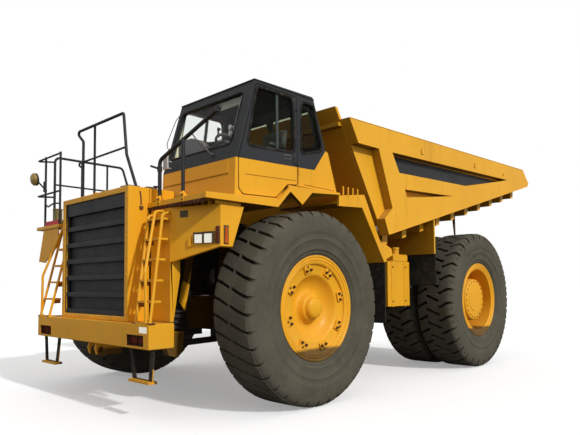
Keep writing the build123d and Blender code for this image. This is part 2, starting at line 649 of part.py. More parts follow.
# Tread of a tyre: pitches round it; as shares of a pitch, half a groove's width at the top and on its floor
# and how far the groove runs round by the shoulder; whether the halves are staggered; flats of the side wall
FRONT_TREAD = (38, 0.15, 0.07, -0.22, False, 19)
REAR_TREAD = (32, 0.25, 0.0, 0.0, True, 24)
CROWN_EDGE = (290, 1316)  # distance out from the tyre's middle and radius where the tread meets the shoulder
GROOVE_DEPTH = 62
WALL_RINGS = ((TYRE_HALF_WIDTH, 1120), (FLANGE_IN, 740))


def lug_ring(y, radius, tread, shift):
    """Corners of the lugs and grooves round one ring, as (turn, y, radius); a lug's corner is lowest."""
    pitches, top, floor = tread[:3]
    corners = [(-top, 0), (-floor, GROOVE_DEPTH), (floor, GROOVE_DEPTH), (top, 0)]
    if floor == 0:
        corners.pop(2)
    start = (0.75 * pitches) % 1 - top + shift
    ring = []
    for pitch in range(pitches):
        ring += [((pitch + share + start) / pitches, y, radius - depth) for share, depth in corners]
    return ring


def wall_ring(y, radius, flats):
    """Corners of a ring with even flats, as (turn, y, radius)."""
    return [(k / flats, y, radius) for k in range(flats)]


def band(first, second):
    """Flat faces between two rings with as many corners."""
    faces = []
    count = len(first)
    for k in range(count):
        a, b, c, d = first[k], first[(k + 1) % count], second[(k + 1) % count], second[k]
        flat = a[0] == d[0] and a[2] == b[2]
        faces += [(a, b, c, d)] if flat else [(a, b, c), (a, c, d)]
    return faces


def shoulder(lugs, wall):
    """Triangles from the ring of lugs out to the ring at the top of the side wall."""
    lugs, wall = (sorted((turn % 1, y, radius) for turn, y, radius in ring) for ring in (lugs, wall))
    faces = []
    i = j = 0
    while i < len(lugs) or j < len(wall):
        here, there = lugs[i % len(lugs)], wall[j % len(wall)]
        next_here, next_there = lugs[(i + 1) % len(lugs)], wall[(j + 1) % len(wall)]
        here_turn = next_here[0] + (i + 1) // len(lugs)
        there_turn = next_there[0] + (j + 1) // len(wall)
        if i < len(lugs) and (j == len(wall) or here_turn <= there_turn):
            faces.append((here, next_here, there))
            i += 1
        else:
            faces.append((here, next_there, there))
            j += 1
    return faces


def lugged_tyre(centre_y, ahead, tread):
    """One tyre as a closed solid of flat faces, with grooves that run out through its shoulders."""
    lean, staggered, flats = tread[3:]
    bore = (BEAD_R + 0.2) / cos(pi / flats)
    faces, bores = [], []
    for side in (1, -1):
        stagger = 0.5 if staggered and side < 0 else 0
        middle = lug_ring(0, TYRE_R, tread, stagger)
        edge = lug_ring(side * CROWN_EDGE[0], CROWN_EDGE[1], tread, stagger + side * lean)
        walls = [wall_ring(side * y, radius, flats) for y, radius in (*WALL_RINGS, (FLANGE_IN, bore))]
        faces += band(middle, edge) + shoulder(edge, walls[0])
        for first, second in zip(walls, walls[1:]):
            faces += band(first, second)
        if staggered:
            faces += [tuple(middle[k:k + 3]) for k in range(0, len(middle), 3)]
        bores.append(walls[-1])
    faces += band(*bores)
    flat_faces = []
    for face in faces:
        ring = []
        for turn, y, radius in face:
            angle = 2 * pi * turn
            ring.append((
                FRONT_AXLE_X + ahead + radius * cos(angle), centre_y + y, TYRE_R + radius * sin(angle),
            ))
        flat_faces.append(Face(Wire.make_polygon(ring)))
    return Solid(Shell(flat_faces))


HUB_OUTLINE = [  # y, radius of the front wheel's disc and hub
    (2400, 620), (2400, 440), (2285, 340), (2265, 270), (2330, 190), (2365, 150), (2430, 135), (2450, 75),
    (2450, 0), (2315, 0), (2315, SPINDLE_R + 6), (1905, SPINDLE_R + 6), (1905, 230), (2190, 230),
    (2225, 345), (2345, 455), (2345, 620),
]
for name, side in SIDES:
    with BuildPart() as front_rim:
        turned([(side * FRONT_TYRE_Y + y, radius) for y, radius in RIM_SECTION], 0)
        turned(mirrored(HUB_OUTLINE, side), 0)
    save(front_rim.part, f"front_rim_{name}")
    with BuildPart() as front_tyre:
        add(lugged_tyre(side * FRONT_TYRE_Y, 0, FRONT_TREAD))
    save(front_tyre.part, f"front_tyre_{name}")

FINAL_DRIVE = [  # y, radius of the final drive and hub between the twin rims
    (2370, 0), (2370, 395), (2355, 412), (1995, 455), (1985, 612), (1945, 612), (1945, 330),
    (1000, 330), (1000, 206), (1880, 206), (1880, 0),
]
for name, side in SIDES:
    with BuildPart() as rear_rims:
        turned(mirrored(FINAL_DRIVE, side), REAR_AHEAD)
        for tyre_y in REAR_TYRE_Y:
            turned([(side * tyre_y + y, radius) for y, radius in RIM_SECTION], REAR_AHEAD)
        turned(mirrored([(1590, 625), (1870, 625), (1870, 580), (1590, 580)], side), REAR_AHEAD)
    save(rear_rims.part, f"rear_rims_{name}")
    with BuildPart() as rear_tyres:
        for tyre_y in REAR_TYRE_Y:
            add(lugged_tyre(side * tyre_y, REAR_AHEAD, REAR_TREAD))
    save(rear_tyres.part, f"rear_tyres_{name}")

AXLE_HOUSING = [  # y, radius
    (-1870, 0), (-1870, 200), (-975, 200), (-975, 400), (-915, 400), (-915, 270), (-420, 300), (-300, 420),
    (300, 420), (420, 300), (915, 270), (915, 400), (975, 400), (975, 200), (1870, 200), (1870, 0),
]
with BuildPart() as rear_axle:
    turned(AXLE_HOUSING, REAR_AHEAD)
    # pull frame from the housing forwards to the cross tube
    level([(-4600, -300), (-4600, 300), (-3640, 150), (-3640, -150)], (1260, 1420))
    bar((-3600, -200, 1340), (-3600, 200, 1340), 90)
    for _, side in SIDES:
        block((REAR_STRUT_AHEAD - 80, REAR_AHEAD), (side * 700, side * 880), (1450, 1590))
save(rear_axle.part, "rear_axle")

# ---------------------------------------------------------------- mudguards, flaps and tanks
GUARD_EDGE = [
    (-820, 3000), (-1470, 3085), (-2084, 2038), (-2008, 2015), (-1410, 2870), (-820, 2840),
]
GUARD_PLATE = [
    (-820, 2920), (-1437, 2960), (-2046, 2030), (-2012, 2018), (-1415, 2925), (-820, 2885),
]
GUSSET = [(-1860, 2390), (-2225, 2250), (-2259, 2140), (-2040, 2060)]
with BuildPart() as mudguards:
    for _, side in SIDES:
        slab(GUARD_EDGE, (side * 2160, side * 2200))
        slab(GUARD_PLATE, (side * 950, side * 2160))
        slab(GUSSET, (side * 2160, side * 2200))
        # carrier from the frame to the guard
        block((-1560, -1480), (side * 560, side * 960), (1500, 1640))
        slab([(-1560, 1500), (-1480, 1500), (-1480, 2830), (-1560, 2710)], (side * 940, side * 1000))
save(mudguards.part, "mudguards")

with BuildPart() as mudflaps:
    for _, side in SIDES:
        block((-2050, -2030), (side * 1050, side * 2190), (1000, 2012))
save(mudflaps.part, "mudflaps")

TANK_AHEAD = (-3100, -2400)
with BuildPart() as side_tanks:
    for _, side in SIDES:
        block(TANK_AHEAD, (side * 1000, side * 2000), (1260, 2050))
        block((-2950, -2550), (side * 560, side * 1000), (1420, 1700))
        block((-3030, -2560), (side * 1850, side * 2000), (2050, 2180))
        bar((-2790, side * 1900, 2180), (-2790, side * 1900, 2270), 70)
save(side_tanks.part, "side_tanks")

# ---------------------------------------------------------------- dump body
def bed_under(ahead):
    """Height of the dump body's lower edge, which climbs to the tail."""
    return 2454 - (ahead + 1893) * BED_SLOPE


BED_OUTLINE = [
    (-874, 4184), (-7656, 4367), (-8001, 4078), (-7918, 3993), (-1893, 2454), (-1782, 2706),
]
FRONT_POCKET = [(-1057, 3823), (-1640, 3830), (-2010, 2900), (-1770, 2706), (-900, 2706), (-860, 3823)]
UPPER_SLOT = [(-2031, 3835), (-2234, 3523), (-4703, 3606), (-6731, 3995)]
LOWER_POCKET = [(-2400, 3258), (-2463, 3132), (-4086, 3331)]
TOP_CAPPING = [(-1000, 4100), (-990, 4170), (-7640, 4350), (-7640, 4280)]
with BuildPart() as bed_sides:
    for _, side in SIDES:
        slab(BED_OUTLINE, (side * BED_SHEET_Y[0], side * BED_SHEET_Y[1]))
        slab(BED_OUTLINE, (side * BED_SHEET_Y[1], side * BED_RIB_Y))
        for pocket in (FRONT_POCKET, UPPER_SLOT, LOWER_POCKET):
            slab(pocket, (side * BED_SHEET_Y[1], side * (BED_RIB_Y + 50)), mode=Mode.SUBTRACT)
        # capping that closes the top rail inwards over the sheet
        slab(TOP_CAPPING, (side * 2110, side * BED_SHEET_Y[0]))
save(bed_sides.part, "bed_sides")

FLOOR_FRONT = -1830
FLOOR_TAIL = -7880
FLOOR_RISE = (40, 95)
with BuildPart() as bed_floor:
    slab(
        [
            (FLOOR_FRONT, bed_under(FLOOR_FRONT) + FLOOR_RISE[0]),
            (FLOOR_TAIL, bed_under(FLOOR_TAIL) + FLOOR_RISE[0]),
            (FLOOR_TAIL, bed_under(FLOOR_TAIL) + FLOOR_RISE[1]),
            (FLOOR_FRONT, bed_under(FLOOR_FRONT) + FLOOR_RISE[1]),
        ],
        (-BED_SHEET_Y[0], BED_SHEET_Y[0]),
    )
save(bed_floor.part, "bed_floor")


def wall_ahead(height):
    """Distance ahead of the front wall's face, which leans forwards."""
    return -1800 + (height - 2680) * 0.617


WALL_TOP = 4369
WALL_LEDGE = 4140
with BuildPart() as bed_front_wall:
    slab(
        [
            (wall_ahead(2620), 2620), (wall_ahead(WALL_TOP), WALL_TOP),
            (wall_ahead(WALL_TOP) - 65, WALL_TOP), (wall_ahead(2620) - 65, 2620),
        ],
        (-BED_SHEET_Y[0], BED_SHEET_Y[0]),
    )
    slab(
        [
            (wall_ahead(WALL_LEDGE - 60), WALL_LEDGE - 60),
            (wall_ahead(WALL_LEDGE - 60) + 90, WALL_LEDGE - 60),
            (wall_ahead(WALL_LEDGE) + 60, WALL_LEDGE), (wall_ahead(WALL_LEDGE), WALL_LEDGE),
        ],
        (-BED_SHEET_Y[0], BED_SHEET_Y[0]),
    )
save(bed_front_wall.part, "bed_front_wall")

BOLSTERS = 10
BOLSTER_FIRST = -2110
BOLSTER_PITCH = 600
BOLSTER_HALF = 90
BOLSTER_TAPER = 25
BOLSTER_END_Y = 2150
BOLSTER_DROP = 235
SILL_Y = (350, 540)
SILL_AHEAD = (-1960, -5600)
CLEVIS_AHEAD = (-3240, -2960)
CLEVIS_HALF = (82, 117)
CLEVIS_ROOF = 2745
GUARD_AHEAD = (-3440, -3400)


def floor_under(ahead, drop=0):
    """Height of the floor plate's underside, or of a face that hangs that far below it."""
    return bed_under(ahead) + FLOOR_RISE[0] - drop


with BuildPart() as bed_bolsters:
    for index in range(BOLSTERS):
        front = BOLSTER_FIRST - index * BOLSTER_PITCH + BOLSTER_HALF
        back = front - 2 * BOLSTER_HALF
        foot = (back + BOLSTER_TAPER, front - BOLSTER_TAPER)
        section = [
            (front, floor_under(front)), (back, floor_under(back)),
            (foot[0], floor_under(foot[0], BOLSTER_DROP)), (foot[1], floor_under(foot[1], BOLSTER_DROP)),
        ]
        # the sills pass between an inner and two outer lengths
        lengths = ((-BOLSTER_END_Y, -SILL_Y[1]), (-SILL_Y[0], SILL_Y[0]), (SILL_Y[1], BOLSTER_END_Y))
        for y_range in lengths if back > SILL_AHEAD[1] else ((-BOLSTER_END_Y, BOLSTER_END_Y),):
            slab(section, y_range)
    for _, side in SIDES:
        # room for the hoist rod's clevis
        room_y = [side * (HOIST_Y + reach) for reach in (-CLEVIS_HALF[1] - 10, CLEVIS_HALF[1] + 10)]
        block((-3290, -2930), room_y, (2300, 2900), mode=Mode.SUBTRACT)
save(bed_bolsters.part, "bed_bolsters")

with BuildPart() as bed_underframe:
    for _, side in SIDES:
        # sill that rests along the frame rail
        slab(
            [
                (SILL_AHEAD[0], 2000), (SILL_AHEAD[1], 2265),
                (SILL_AHEAD[1], floor_under(SILL_AHEAD[1])), (SILL_AHEAD[0], floor_under(SILL_AHEAD[0])),
            ],
            [side * y for y in SILL_Y],
        )
        # hinge lug outside the rail, under the bolsters, with the bore of the pivot pin
        slab(
            [
                (-6430, 2480), (-6430, floor_under(-6430, BOLSTER_DROP)),
                (-5750, floor_under(-5750, BOLSTER_DROP)), (-6060, 2430), (-6250, 2380),
            ],
            (side * 590, side * 690),
        )
        pivot_bore = [(BED_PIVOT[0], side * y, BED_PIVOT[1]) for y in (570, 710)]
        bar(*pivot_bore, PIVOT_PIN_R + 2, mode=Mode.SUBTRACT)
        # clevis over the hoist rod's eye, under the floor plate
        clevis_top = [(ahead, floor_under(ahead)) for ahead in reversed(CLEVIS_AHEAD)]
        for reach in ((-CLEVIS_HALF[1], -CLEVIS_HALF[0]), CLEVIS_HALF):
            slab([(-3200, 2500), (-3000, 2500), *clevis_top], [side * (HOIST_Y + y) for y in reach])
        roof_y = [side * (HOIST_Y + y) for y in (-CLEVIS_HALF[1], CLEVIS_HALF[1])]
        slab([(ahead, CLEVIS_ROOF) for ahead in CLEVIS_AHEAD] + clevis_top, roof_y)
        # stone guard ahead of the twin tyres
        block(GUARD_AHEAD, (side * 1000, side * 2350), (2200, 2835))
        # stone ejector between the twin tyres, cut off at the floor plate
        bar((-4285, side * 1730, 3140), (-4380, side * 1730, 2420), 24)
        above = [(ahead, floor_under(ahead)) for ahead in (-4400, -4200)]
        slab(above + [(-4200, 3300), (-4400, 3300)], (side * 1700, side * 1760), mode=Mode.SUBTRACT)
save(bed_underframe.part, "bed_underframe")

with BuildPart() as bed_flaps:
    for _, side in SIDES:
        block((GUARD_AHEAD[0] - 14, GUARD_AHEAD[0]), (side * 1000, side * 2350), (1623, 2260))
save(bed_flaps.part, "bed_flaps")

# ---------------------------------------------------------------- two-stage hoist cylinders
HOIST_RUN = (HOIST_HEAD[0] - HOIST_FOOT[0], HOIST_HEAD[1] - HOIST_FOOT[1])
HOIST_LENGTH = hypot(*HOIST_RUN)


def along_hoist(distance, side):
    """Point on the cylinder's centre line, measured up from its foot pin."""
    share = distance / HOIST_LENGTH
    return (HOIST_FOOT[0] + HOIST_RUN[0] * share, side * HOIST_Y, HOIST_FOOT[1] + HOIST_RUN[1] * share)


def cross_pin(centre, half, radius, side, mode=Mode.ADD):
    """A round eye or its bore across the cylinder, at an (ahead, height) centre."""
    ends = [(centre[0], side * (HOIST_Y + reach), centre[1]) for reach in (-half, half)]
    bar(*ends, radius, mode=mode)


for name, side in SIDES:
    with BuildPart() as barrel:
        bar(along_hoist(40, side), along_hoist(1360, side), 130)
        bar(along_hoist(60, side), along_hoist(1380, side), 105, mode=Mode.SUBTRACT)
        cross_pin(HOIST_FOOT, 60, 120, side)
        cross_pin(HOIST_FOOT, 140, HOIST_PIN_R + 2, side, mode=Mode.SUBTRACT)
        bar(along_hoist(125, side), along_hoist(1380, side), 105, mode=Mode.SUBTRACT)
    save(barrel.part, f"hoist_barrel_{name}")
    with BuildPart() as sleeve:
        bar(along_hoist(130, side), along_hoist(1400, side), 102)
        bar(along_hoist(135, side), along_hoist(1410, side), 78, mode=Mode.SUBTRACT)
    save(sleeve.part, f"hoist_sleeve_{name}")
    with BuildPart() as rod:
        bar(along_hoist(140, side), along_hoist(1480, side), 75)
        cross_pin(HOIST_HEAD, 65, 88, side)
        cross_pin(HOIST_HEAD, 75, 45, side, mode=Mode.SUBTRACT)
    save(rod.part, f"hoist_rod_{name}")
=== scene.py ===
"""Looks of a mining dump truck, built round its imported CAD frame.

Lengths are in metres in the part's frame: +X forwards, +Y to the driver's left, +Z up from the ground.
"Ahead" is always the distance ahead of the front axle, negative behind it.
"""
import bmesh
import bpy
import math
from mathutils import Matrix, Vector


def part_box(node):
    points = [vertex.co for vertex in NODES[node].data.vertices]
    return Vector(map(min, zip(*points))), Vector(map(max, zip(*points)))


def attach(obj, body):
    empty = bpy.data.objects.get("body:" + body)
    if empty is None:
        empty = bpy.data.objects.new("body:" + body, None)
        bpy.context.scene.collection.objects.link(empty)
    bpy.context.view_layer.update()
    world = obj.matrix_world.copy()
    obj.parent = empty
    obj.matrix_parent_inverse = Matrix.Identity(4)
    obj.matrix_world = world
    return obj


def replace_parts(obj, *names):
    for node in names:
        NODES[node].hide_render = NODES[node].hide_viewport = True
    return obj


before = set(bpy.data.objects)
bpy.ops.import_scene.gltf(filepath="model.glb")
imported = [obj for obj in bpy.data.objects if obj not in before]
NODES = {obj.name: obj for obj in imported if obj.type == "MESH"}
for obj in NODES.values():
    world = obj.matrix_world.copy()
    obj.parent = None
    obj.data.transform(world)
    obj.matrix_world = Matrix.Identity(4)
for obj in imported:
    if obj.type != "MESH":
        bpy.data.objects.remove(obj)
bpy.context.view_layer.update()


def middle(node, axis):
    """Middle of a CAD node's box along an axis (0, 1 or 2)."""
    low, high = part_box(node)
    return (low[axis] + high[axis]) / 2


# ---------------------------------------------------------------- places read from the frame
AXLE_X = middle("front_tyre_left", 0)
AXLE_Z = middle("front_tyre_left", 2)
FRONT_TYRE_Y = middle("front_tyre_left", 1)
REAR_AHEAD = middle("rear_tyres_left", 0) - AXLE_X
TYRE_HALF = (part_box("front_tyre_left")[1].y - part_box("front_tyre_left")[0].y) / 2
REAR_TYRE_Y = (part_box("rear_tyres_left")[0].y + TYRE_HALF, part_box("rear_tyres_left")[1].y - TYRE_HALF)
SIDES = (("left", 1), ("right", -1))


def at(ahead, y, z):
    """A point given by its distance ahead of the front axle, its y and its height."""
    return Vector((AXLE_X + ahead, y, z))


# ---------------------------------------------------------------- camera
CAMERA_PLACE = (5.738, 7.429, 1.647)
CAMERA_YAW = -2.379
CAMERA_PITCH = 0.049
CAMERA_ROLL = -0.007
CAMERA_LENS = 34.38
CAMERA_SHIFT_Y = 0.0696


def add_camera():
    forward = Vector((
        math.cos(CAMERA_YAW) * math.cos(CAMERA_PITCH),
        math.sin(CAMERA_YAW) * math.cos(CAMERA_PITCH),
        math.sin(CAMERA_PITCH),
    ))
    level_right = Vector((math.sin(CAMERA_YAW), -math.cos(CAMERA_YAW), 0))
    level_up = level_right.cross(forward)
    cosine, sine = math.cos(CAMERA_ROLL), math.sin(CAMERA_ROLL)
    right = cosine * level_right + sine * level_up
    up = -sine * level_right + cosine * level_up
    data = bpy.data.cameras.new("camera")
    data.lens = CAMERA_LENS
    data.sensor_width = 36
    data.shift_y = CAMERA_SHIFT_Y
    data.clip_end = 400
    camera = bpy.data.objects.new("camera", data)
    bpy.context.scene.collection.objects.link(camera)
    turn = Matrix((right, up, -forward)).transposed().to_4x4()
    camera.matrix_world = Matrix.Translation(at(*CAMERA_PLACE)) @ turn
    bpy.context.scene.camera = camera


# ---------------------------------------------------------------- materials
class Graph:
    """A short way to build a material's node tree."""

    def __init__(self, name):
        self.material = bpy.data.materials.new(name)
        self.material.use_nodes = True
        self.tree = self.material.node_tree
        self.shader = self.tree.nodes["Principled BSDF"]
        self.place = self.tree.nodes.new("ShaderNodeTexCoord").outputs["Object"]

    def feed(self, socket, value):
        if isinstance(value, bpy.types.NodeSocket):
            self.tree.links.new(value, socket)
        else:
            socket.default_value = value

    def node(self, kind, inputs=None, **settings):
        """A node with its settings, and its inputs fed by name or number."""
        made = self.tree.nodes.new("ShaderNode" + kind)
        for key, value in settings.items():
            setattr(made, key, value)
        for key, value in (inputs or {}).items():
            self.feed(made.inputs[key], value)
        return made

    def math(self, operation, first, second=0.0):
        return self.node("Math", {0: first, 1: second}, operation=operation).outputs[0]

    def times(self, first, *others):
        for other in others:
            first = self.math("MULTIPLY", first, other)
        return first

    def noise(self, scale, detail=4.0, roughness=0.55, stretch=None):
        place = self.place
        if stretch:
            place = self.node("Mapping", {"Scale": stretch, "Vector": place}).outputs[0]
        inputs = {"Vector": place, "Scale": scale, "Detail": detail, "Roughness": roughness}
        return self.node("TexNoise", inputs).outputs["Fac"]

    def waves(self, direction, scale):
        inputs = {"Vector": self.place, "Scale": scale}
        return self.node("TexWave", inputs, wave_type="BANDS", bands_direction=direction).outputs["Fac"]

    def span(self, value, low, high, to_low=0.0, to_high=1.0):
        """Maps value from low..high to to_low..to_high, clamped."""
        inputs = {"Value": value, "From Min": low, "From Max": high, "To Min": to_low, "To Max": to_high}
        return self.node("MapRange", inputs).outputs["Result"]

    def mix(self, share, first, second, blend="MIX"):
        inputs = {"Factor": share, "A": rgba(first), "B": rgba(second)}
        return self.node("Mix", inputs, data_type="RGBA", blend_type=blend).outputs["Result"]

    def darker(self, share, colour, factor):
        """The colour times a factor, as far as the share goes."""
        return self.mix(share, colour, (factor,) * 3, "MULTIPLY")

    def parts(self, vector):
        """The x, y and z of a vector."""
        return self.node("SeparateXYZ", {0: vector}).outputs

    def normal(self):
        return self.node("NewGeometry").outputs["Normal"]

    def above_split(self):
        """1 above the line where the cab's yellow ends, in the frame's own coordinates."""
        x, _, z = self.parts(self.place)
        (x0, z0), (x1, z1) = SPLIT_FRONT, SPLIT_REAR
        slope = (z1 - z0) / (x1 - x0)
        line = self.math("ADD", self.times(x, slope), z0 - (AXLE_X + x0) * slope)
        return self.math("GREATER_THAN", z, line)

    def painted_shade(self):
        """1 where shade is painted: in the engine bay, on faces that look down from above the wheels, and low
        down.
        """
        x, y, z = self.parts(self.place)
        up = self.parts(self.normal())[2]
        roof = self.span(x, AXLE_X + 0.45, AXLE_X + 0.50, BAY_TOP_REAR, BAY_TOP_FRONT)
        bay = self.times(
            self.span(self.math("ABSOLUTE", y), BAY_HALF_WIDTH + 0.06, BAY_HALF_WIDTH),
            self.span(x, AXLE_X + BAY_FRONT + 0.04, AXLE_X + BAY_FRONT),
            self.span(x, AXLE_X + BAY_REAR, AXLE_X + BAY_REAR + 0.10),
            self.math("LESS_THAN", z, roof),
            self.span(up, 0.5, 0.3),
        )
        below = self.times(self.span(up, -0.5, -0.8), self.span(z, 2.2, 2.4))
        low = self.times(self.span(z, 0.80, 0.76), self.math("LESS_THAN", x, AXLE_X + BUMPER_BACK))
        return self.math("MAXIMUM", bay, self.math("MAXIMUM", below, low))

    def facing_ahead(self):
        """1 on faces that look straight ahead."""
        return self.span(self.parts(self.normal())[0], 0.35, 0.75)

    def facing_up(self):
        """1 on faces that look up, 0 on upright and lower ones."""
        return self.span(self.parts(self.normal())[2], 0.25, 0.95)

    def edges(self, radius):
        """1 along edges and corners, 0 on flats."""
        rounded = self.node("Bevel", {"Radius": radius}, samples=4).outputs[0]
        dot = self.node("VectorMath", {0: rounded, 1: self.normal()}, operation="DOT_PRODUCT")
        return self.span(dot.outputs["Value"], 0.985, 0.80)

    def bump(self, height, depth):
        made = self.node("Bump", {"Strength": 1.0, "Distance": depth, "Height": height})
        self.feed(self.shader.inputs["Normal"], made.outputs["Normal"])

    def set(self, **values):
        for key, value in values.items():
            self.feed(self.shader.inputs[key.replace("_", " ")], value)


def rgba(colour):
    """Four numbers from three; sockets pass through."""
    return colour if isinstance(colour, bpy.types.NodeSocket) else (*colour, 1.0)


def shade(colour, factor):
    return tuple(part * factor for part in colour)


# The line where the cab's yellow ends, and the reach of the painted shade in the engine bay and low down:
# ahead of the front axle, and heights
SPLIT_FRONT = (1.205, 3.270)
SPLIT_REAR = (-0.305, 3.318)
BAY_FRONT = 1.60
BAY_REAR = -1.25
BAY_HALF_WIDTH = 1.40
BAY_TOP_REAR = 2.99
BAY_TOP_FRONT = 2.69
BUMPER_BACK = 1.98
DUST = (0.42, 0.31, 0.18)
SOOT = (0.045, 0.035, 0.025)
PRIMER = (0.22, 0.12, 0.05)
MUD = (0.155, 0.125, 0.082)
# painted shade at the bottom of the tyre grooves
GROOVE_SHADE = (0.012, 0.010, 0.008)
OLD_RUST = (0.20, 0.085, 0.03)


def paint(name, colour, roughness=0.45, dust=0.22, grime=0.30, wear=0.35, gloss=0.08, shine=0.22,
          upper=None, front_shade=0.0, shaded=True):
    """Machine enamel: faded patches, rain streaks, dust on top faces and low down, chipped edges, and, unless
    turned off, painted shade in the engine bay, on faces that look down and low down.
    With upper, the faces above the cab's split line have that colour; the front share paints shade on the
    faces that look ahead."""
    g = Graph(name)
    patches = g.span(g.noise(0.9, 5), 0.35, 0.7)
    tint = g.mix(patches, shade(colour, 0.94), shade(colour, 1.05))
    if upper:
        tint = g.mix(g.above_split(), tint, upper)
    streaks = g.span(g.noise(5.0, 6, 0.6, stretch=(1.0, 1.0, 0.12)), 0.56, 0.80, 0.0, grime)
    tint = g.darker(streaks, tint, 0.45)
    # painted shade: the engine bay, faces that look down and the lowest parts are darkened
    if shaded:
        tint = g.darker(g.painted_shade(), tint, 0.16)
    # painted shade on the faces that look ahead
    if front_shade:
        tint = g.darker(g.times(g.facing_ahead(), front_shade), tint, 0.35)
    low = g.span(g.parts(g.place)[2], 1.3, 0.2)
    dirt = g.times(g.math("MAXIMUM", g.facing_up(), low), g.span(g.noise(7.0, 6, 0.65), 0.3, 0.7))
    tint = g.mix(g.times(dirt, dust), tint, DUST)
    chips = g.times(g.edges(0.012), g.span(g.noise(28.0, 6, 0.7), 0.52, 0.62))
    tint = g.mix(g.times(chips, wear), tint, PRIMER)
    rough = g.span(g.noise(3.0, 6), 0.3, 0.7, roughness - 0.06, roughness + 0.10)
    g.set(Base_Color=tint, Roughness=g.math("ADD", rough, g.times(dirt, 0.25)))
    g.set(Coat_Weight=gloss, Coat_Roughness=0.22, Specular_IOR_Level=shine)
    g.bump(g.noise(60.0, 3), 0.0006)
    return g.material


def metal(name, colour, roughness=0.35, oil=0.3, metallic=0.9, scratches=0.0):
    """Machined or cast metal with oily patches and fine scratches."""
    g = Graph(name)
    tint = g.mix(g.span(g.noise(6.0, 6, 0.6), 0.35, 0.65), colour, shade(colour, 0.62))
    tint = g.mix(g.span(g.noise(2.2, 5), 0.55, 0.72, 0.0, oil), tint, SOOT)
    g.set(Base_Color=tint, Metallic=metallic)
    g.set(Roughness=g.span(g.noise(18.0, 5), 0.3, 0.7, roughness - 0.08, roughness + 0.12))
    lines = g.noise(90.0, 2, 0.5, stretch=(0.05, 1.0, 1.0)) if scratches else g.noise(45.0, 4)
    g.bump(lines, 0.0008 + scratches)
    return g.material


def rubber(name, colour, tread=False):
    """Rubber with dried mud dust; the cavity attribute paints shade into the tread's grooves, darker the
    deeper they are.
    """
    g = Graph(name)
    tint = g.mix(g.span(g.noise(2.4, 6, 0.6), 0.32, 0.68), shade(colour, 0.85), shade(colour, 1.15))
    tint = g.mix(g.span(g.noise(11.0, 7, 0.7), 0.48, 0.75, 0.0, 0.45), tint, MUD)
    if tread:
        cavity = g.node("Attribute", attribute_name="cavity").outputs["Fac"]
        tint = g.mix(g.times(cavity, 0.85), tint, GROOVE_SHADE)
    g.set(Base_Color=tint, Roughness=g.span(g.noise(9.0, 5), 0.3, 0.7, 0.72, 0.92), Specular_IOR_Level=0.12)
    g.bump(g.noise(38.0, 7, 0.7), 0.004)
    return g.material


def plastic(name, colour, roughness=0.5):
    g = Graph(name)
    tint = g.mix(g.span(g.noise(4.0, 5), 0.3, 0.7), shade(colour, 0.85), shade(colour, 1.15))
    tint = g.mix(g.times(g.facing_up(), 0.18), tint, DUST)
    g.set(Base_Color=tint, Roughness=g.span(g.noise(12.0, 4), 0.3, 0.7, roughness - 0.07, roughness + 0.1))
    g.bump(g.noise(220.0, 2), 0.0006)
    return g.material


SMOKE = (0.52, 0.56, 0.46)
SMOKED_OUT = 2.10
SMOKED_BEHIND = -0.20


def glass(name, colour, roughness=0.02):
    """Glass with a trace of dust that dulls its gloss; the door's and the rear panes are smoked."""
    g = Graph(name)
    haze = g.span(g.noise(3.0, 6, 0.6), 0.4, 0.75, roughness, roughness + 0.10)
    x, y, _ = g.parts(g.place)
    behind = g.math("LESS_THAN", x, AXLE_X + SMOKED_BEHIND)
    smoked = g.math("MAXIMUM", g.math("GREATER_THAN", y, SMOKED_OUT), behind)
    tint = g.mix(smoked, colour, SMOKE)
    g.set(Base_Color=g.mix(g.noise(1.5, 4), tint, g.darker(1.0, tint, 0.95)), Roughness=haze)
    g.set(Transmission_Weight=1.0, IOR=1.12, Specular_IOR_Level=0.3)
    # sunlight passes, so that the cab's inside isn't dark
    shadow = g.node("LightPath").outputs["Is Shadow Ray"]
    clear = g.node("BsdfTransparent").outputs[0]
    mixed = g.node("MixShader", {0: shadow, 1: g.shader.outputs[0], 2: clear})
    g.feed(g.tree.nodes["Material Output"].inputs["Surface"], mixed.outputs[0])
    return g.material


def lens(name, colour, clear=0.55, painted_glow=0.0):
    """Moulded lamp lens with fine ribs; its glow is painted light, standing for light thrown back by the
    reflector.
    """
    g = Graph(name)
    ribs = g.waves("Y", 28.0)
    g.set(Base_Color=g.mix(ribs, shade(colour, 0.82), colour), Roughness=0.16)
    g.set(Transmission_Weight=clear, Coat_Weight=0.1, Coat_Roughness=0.10, Specular_IOR_Level=0.25)
    g.set(Emission_Color=rgba(colour), Emission_Strength=painted_glow)
    g.bump(ribs, 0.003)
    return g.material


def fabric(name, colour):
    """Woven seat cloth with a two-way weave."""
    g = Graph(name)
    weave = g.times(g.waves("Y", 150.0), g.waves("Z", 150.0))
    tint = g.mix(weave, shade(colour, 0.6), shade(colour, 1.25))
    tint = g.mix(g.span(g.noise(5.0, 5), 0.45, 0.75, 0.0, 0.3), tint, DUST)
    g.set(Base_Color=tint, Roughness=0.9, Sheen_Weight=0.4, Sheen_Roughness=0.5)
    g.bump(weave, 0.0012)
    return g.material


def steel_floor(name):
    """Load floor scoured by rock: bare steel with long scratches and rust."""
    g = Graph(name)
    scratches = g.noise(26.0, 7, 0.75, stretch=(0.15, 1.0, 1.0))
    tint = g.mix(g.span(scratches, 0.35, 0.7), (0.16, 0.125, 0.09), (0.34, 0.29, 0.23))
    tint = g.mix(g.span(g.noise(1.6, 7, 0.65), 0.48, 0.7, 0.0, 0.75), tint, OLD_RUST)
    g.set(Base_Color=tint, Metallic=0.55, Roughness=g.span(scratches, 0.3, 0.7, 0.42, 0.65))
    g.bump(scratches, 0.003)
    return g.material


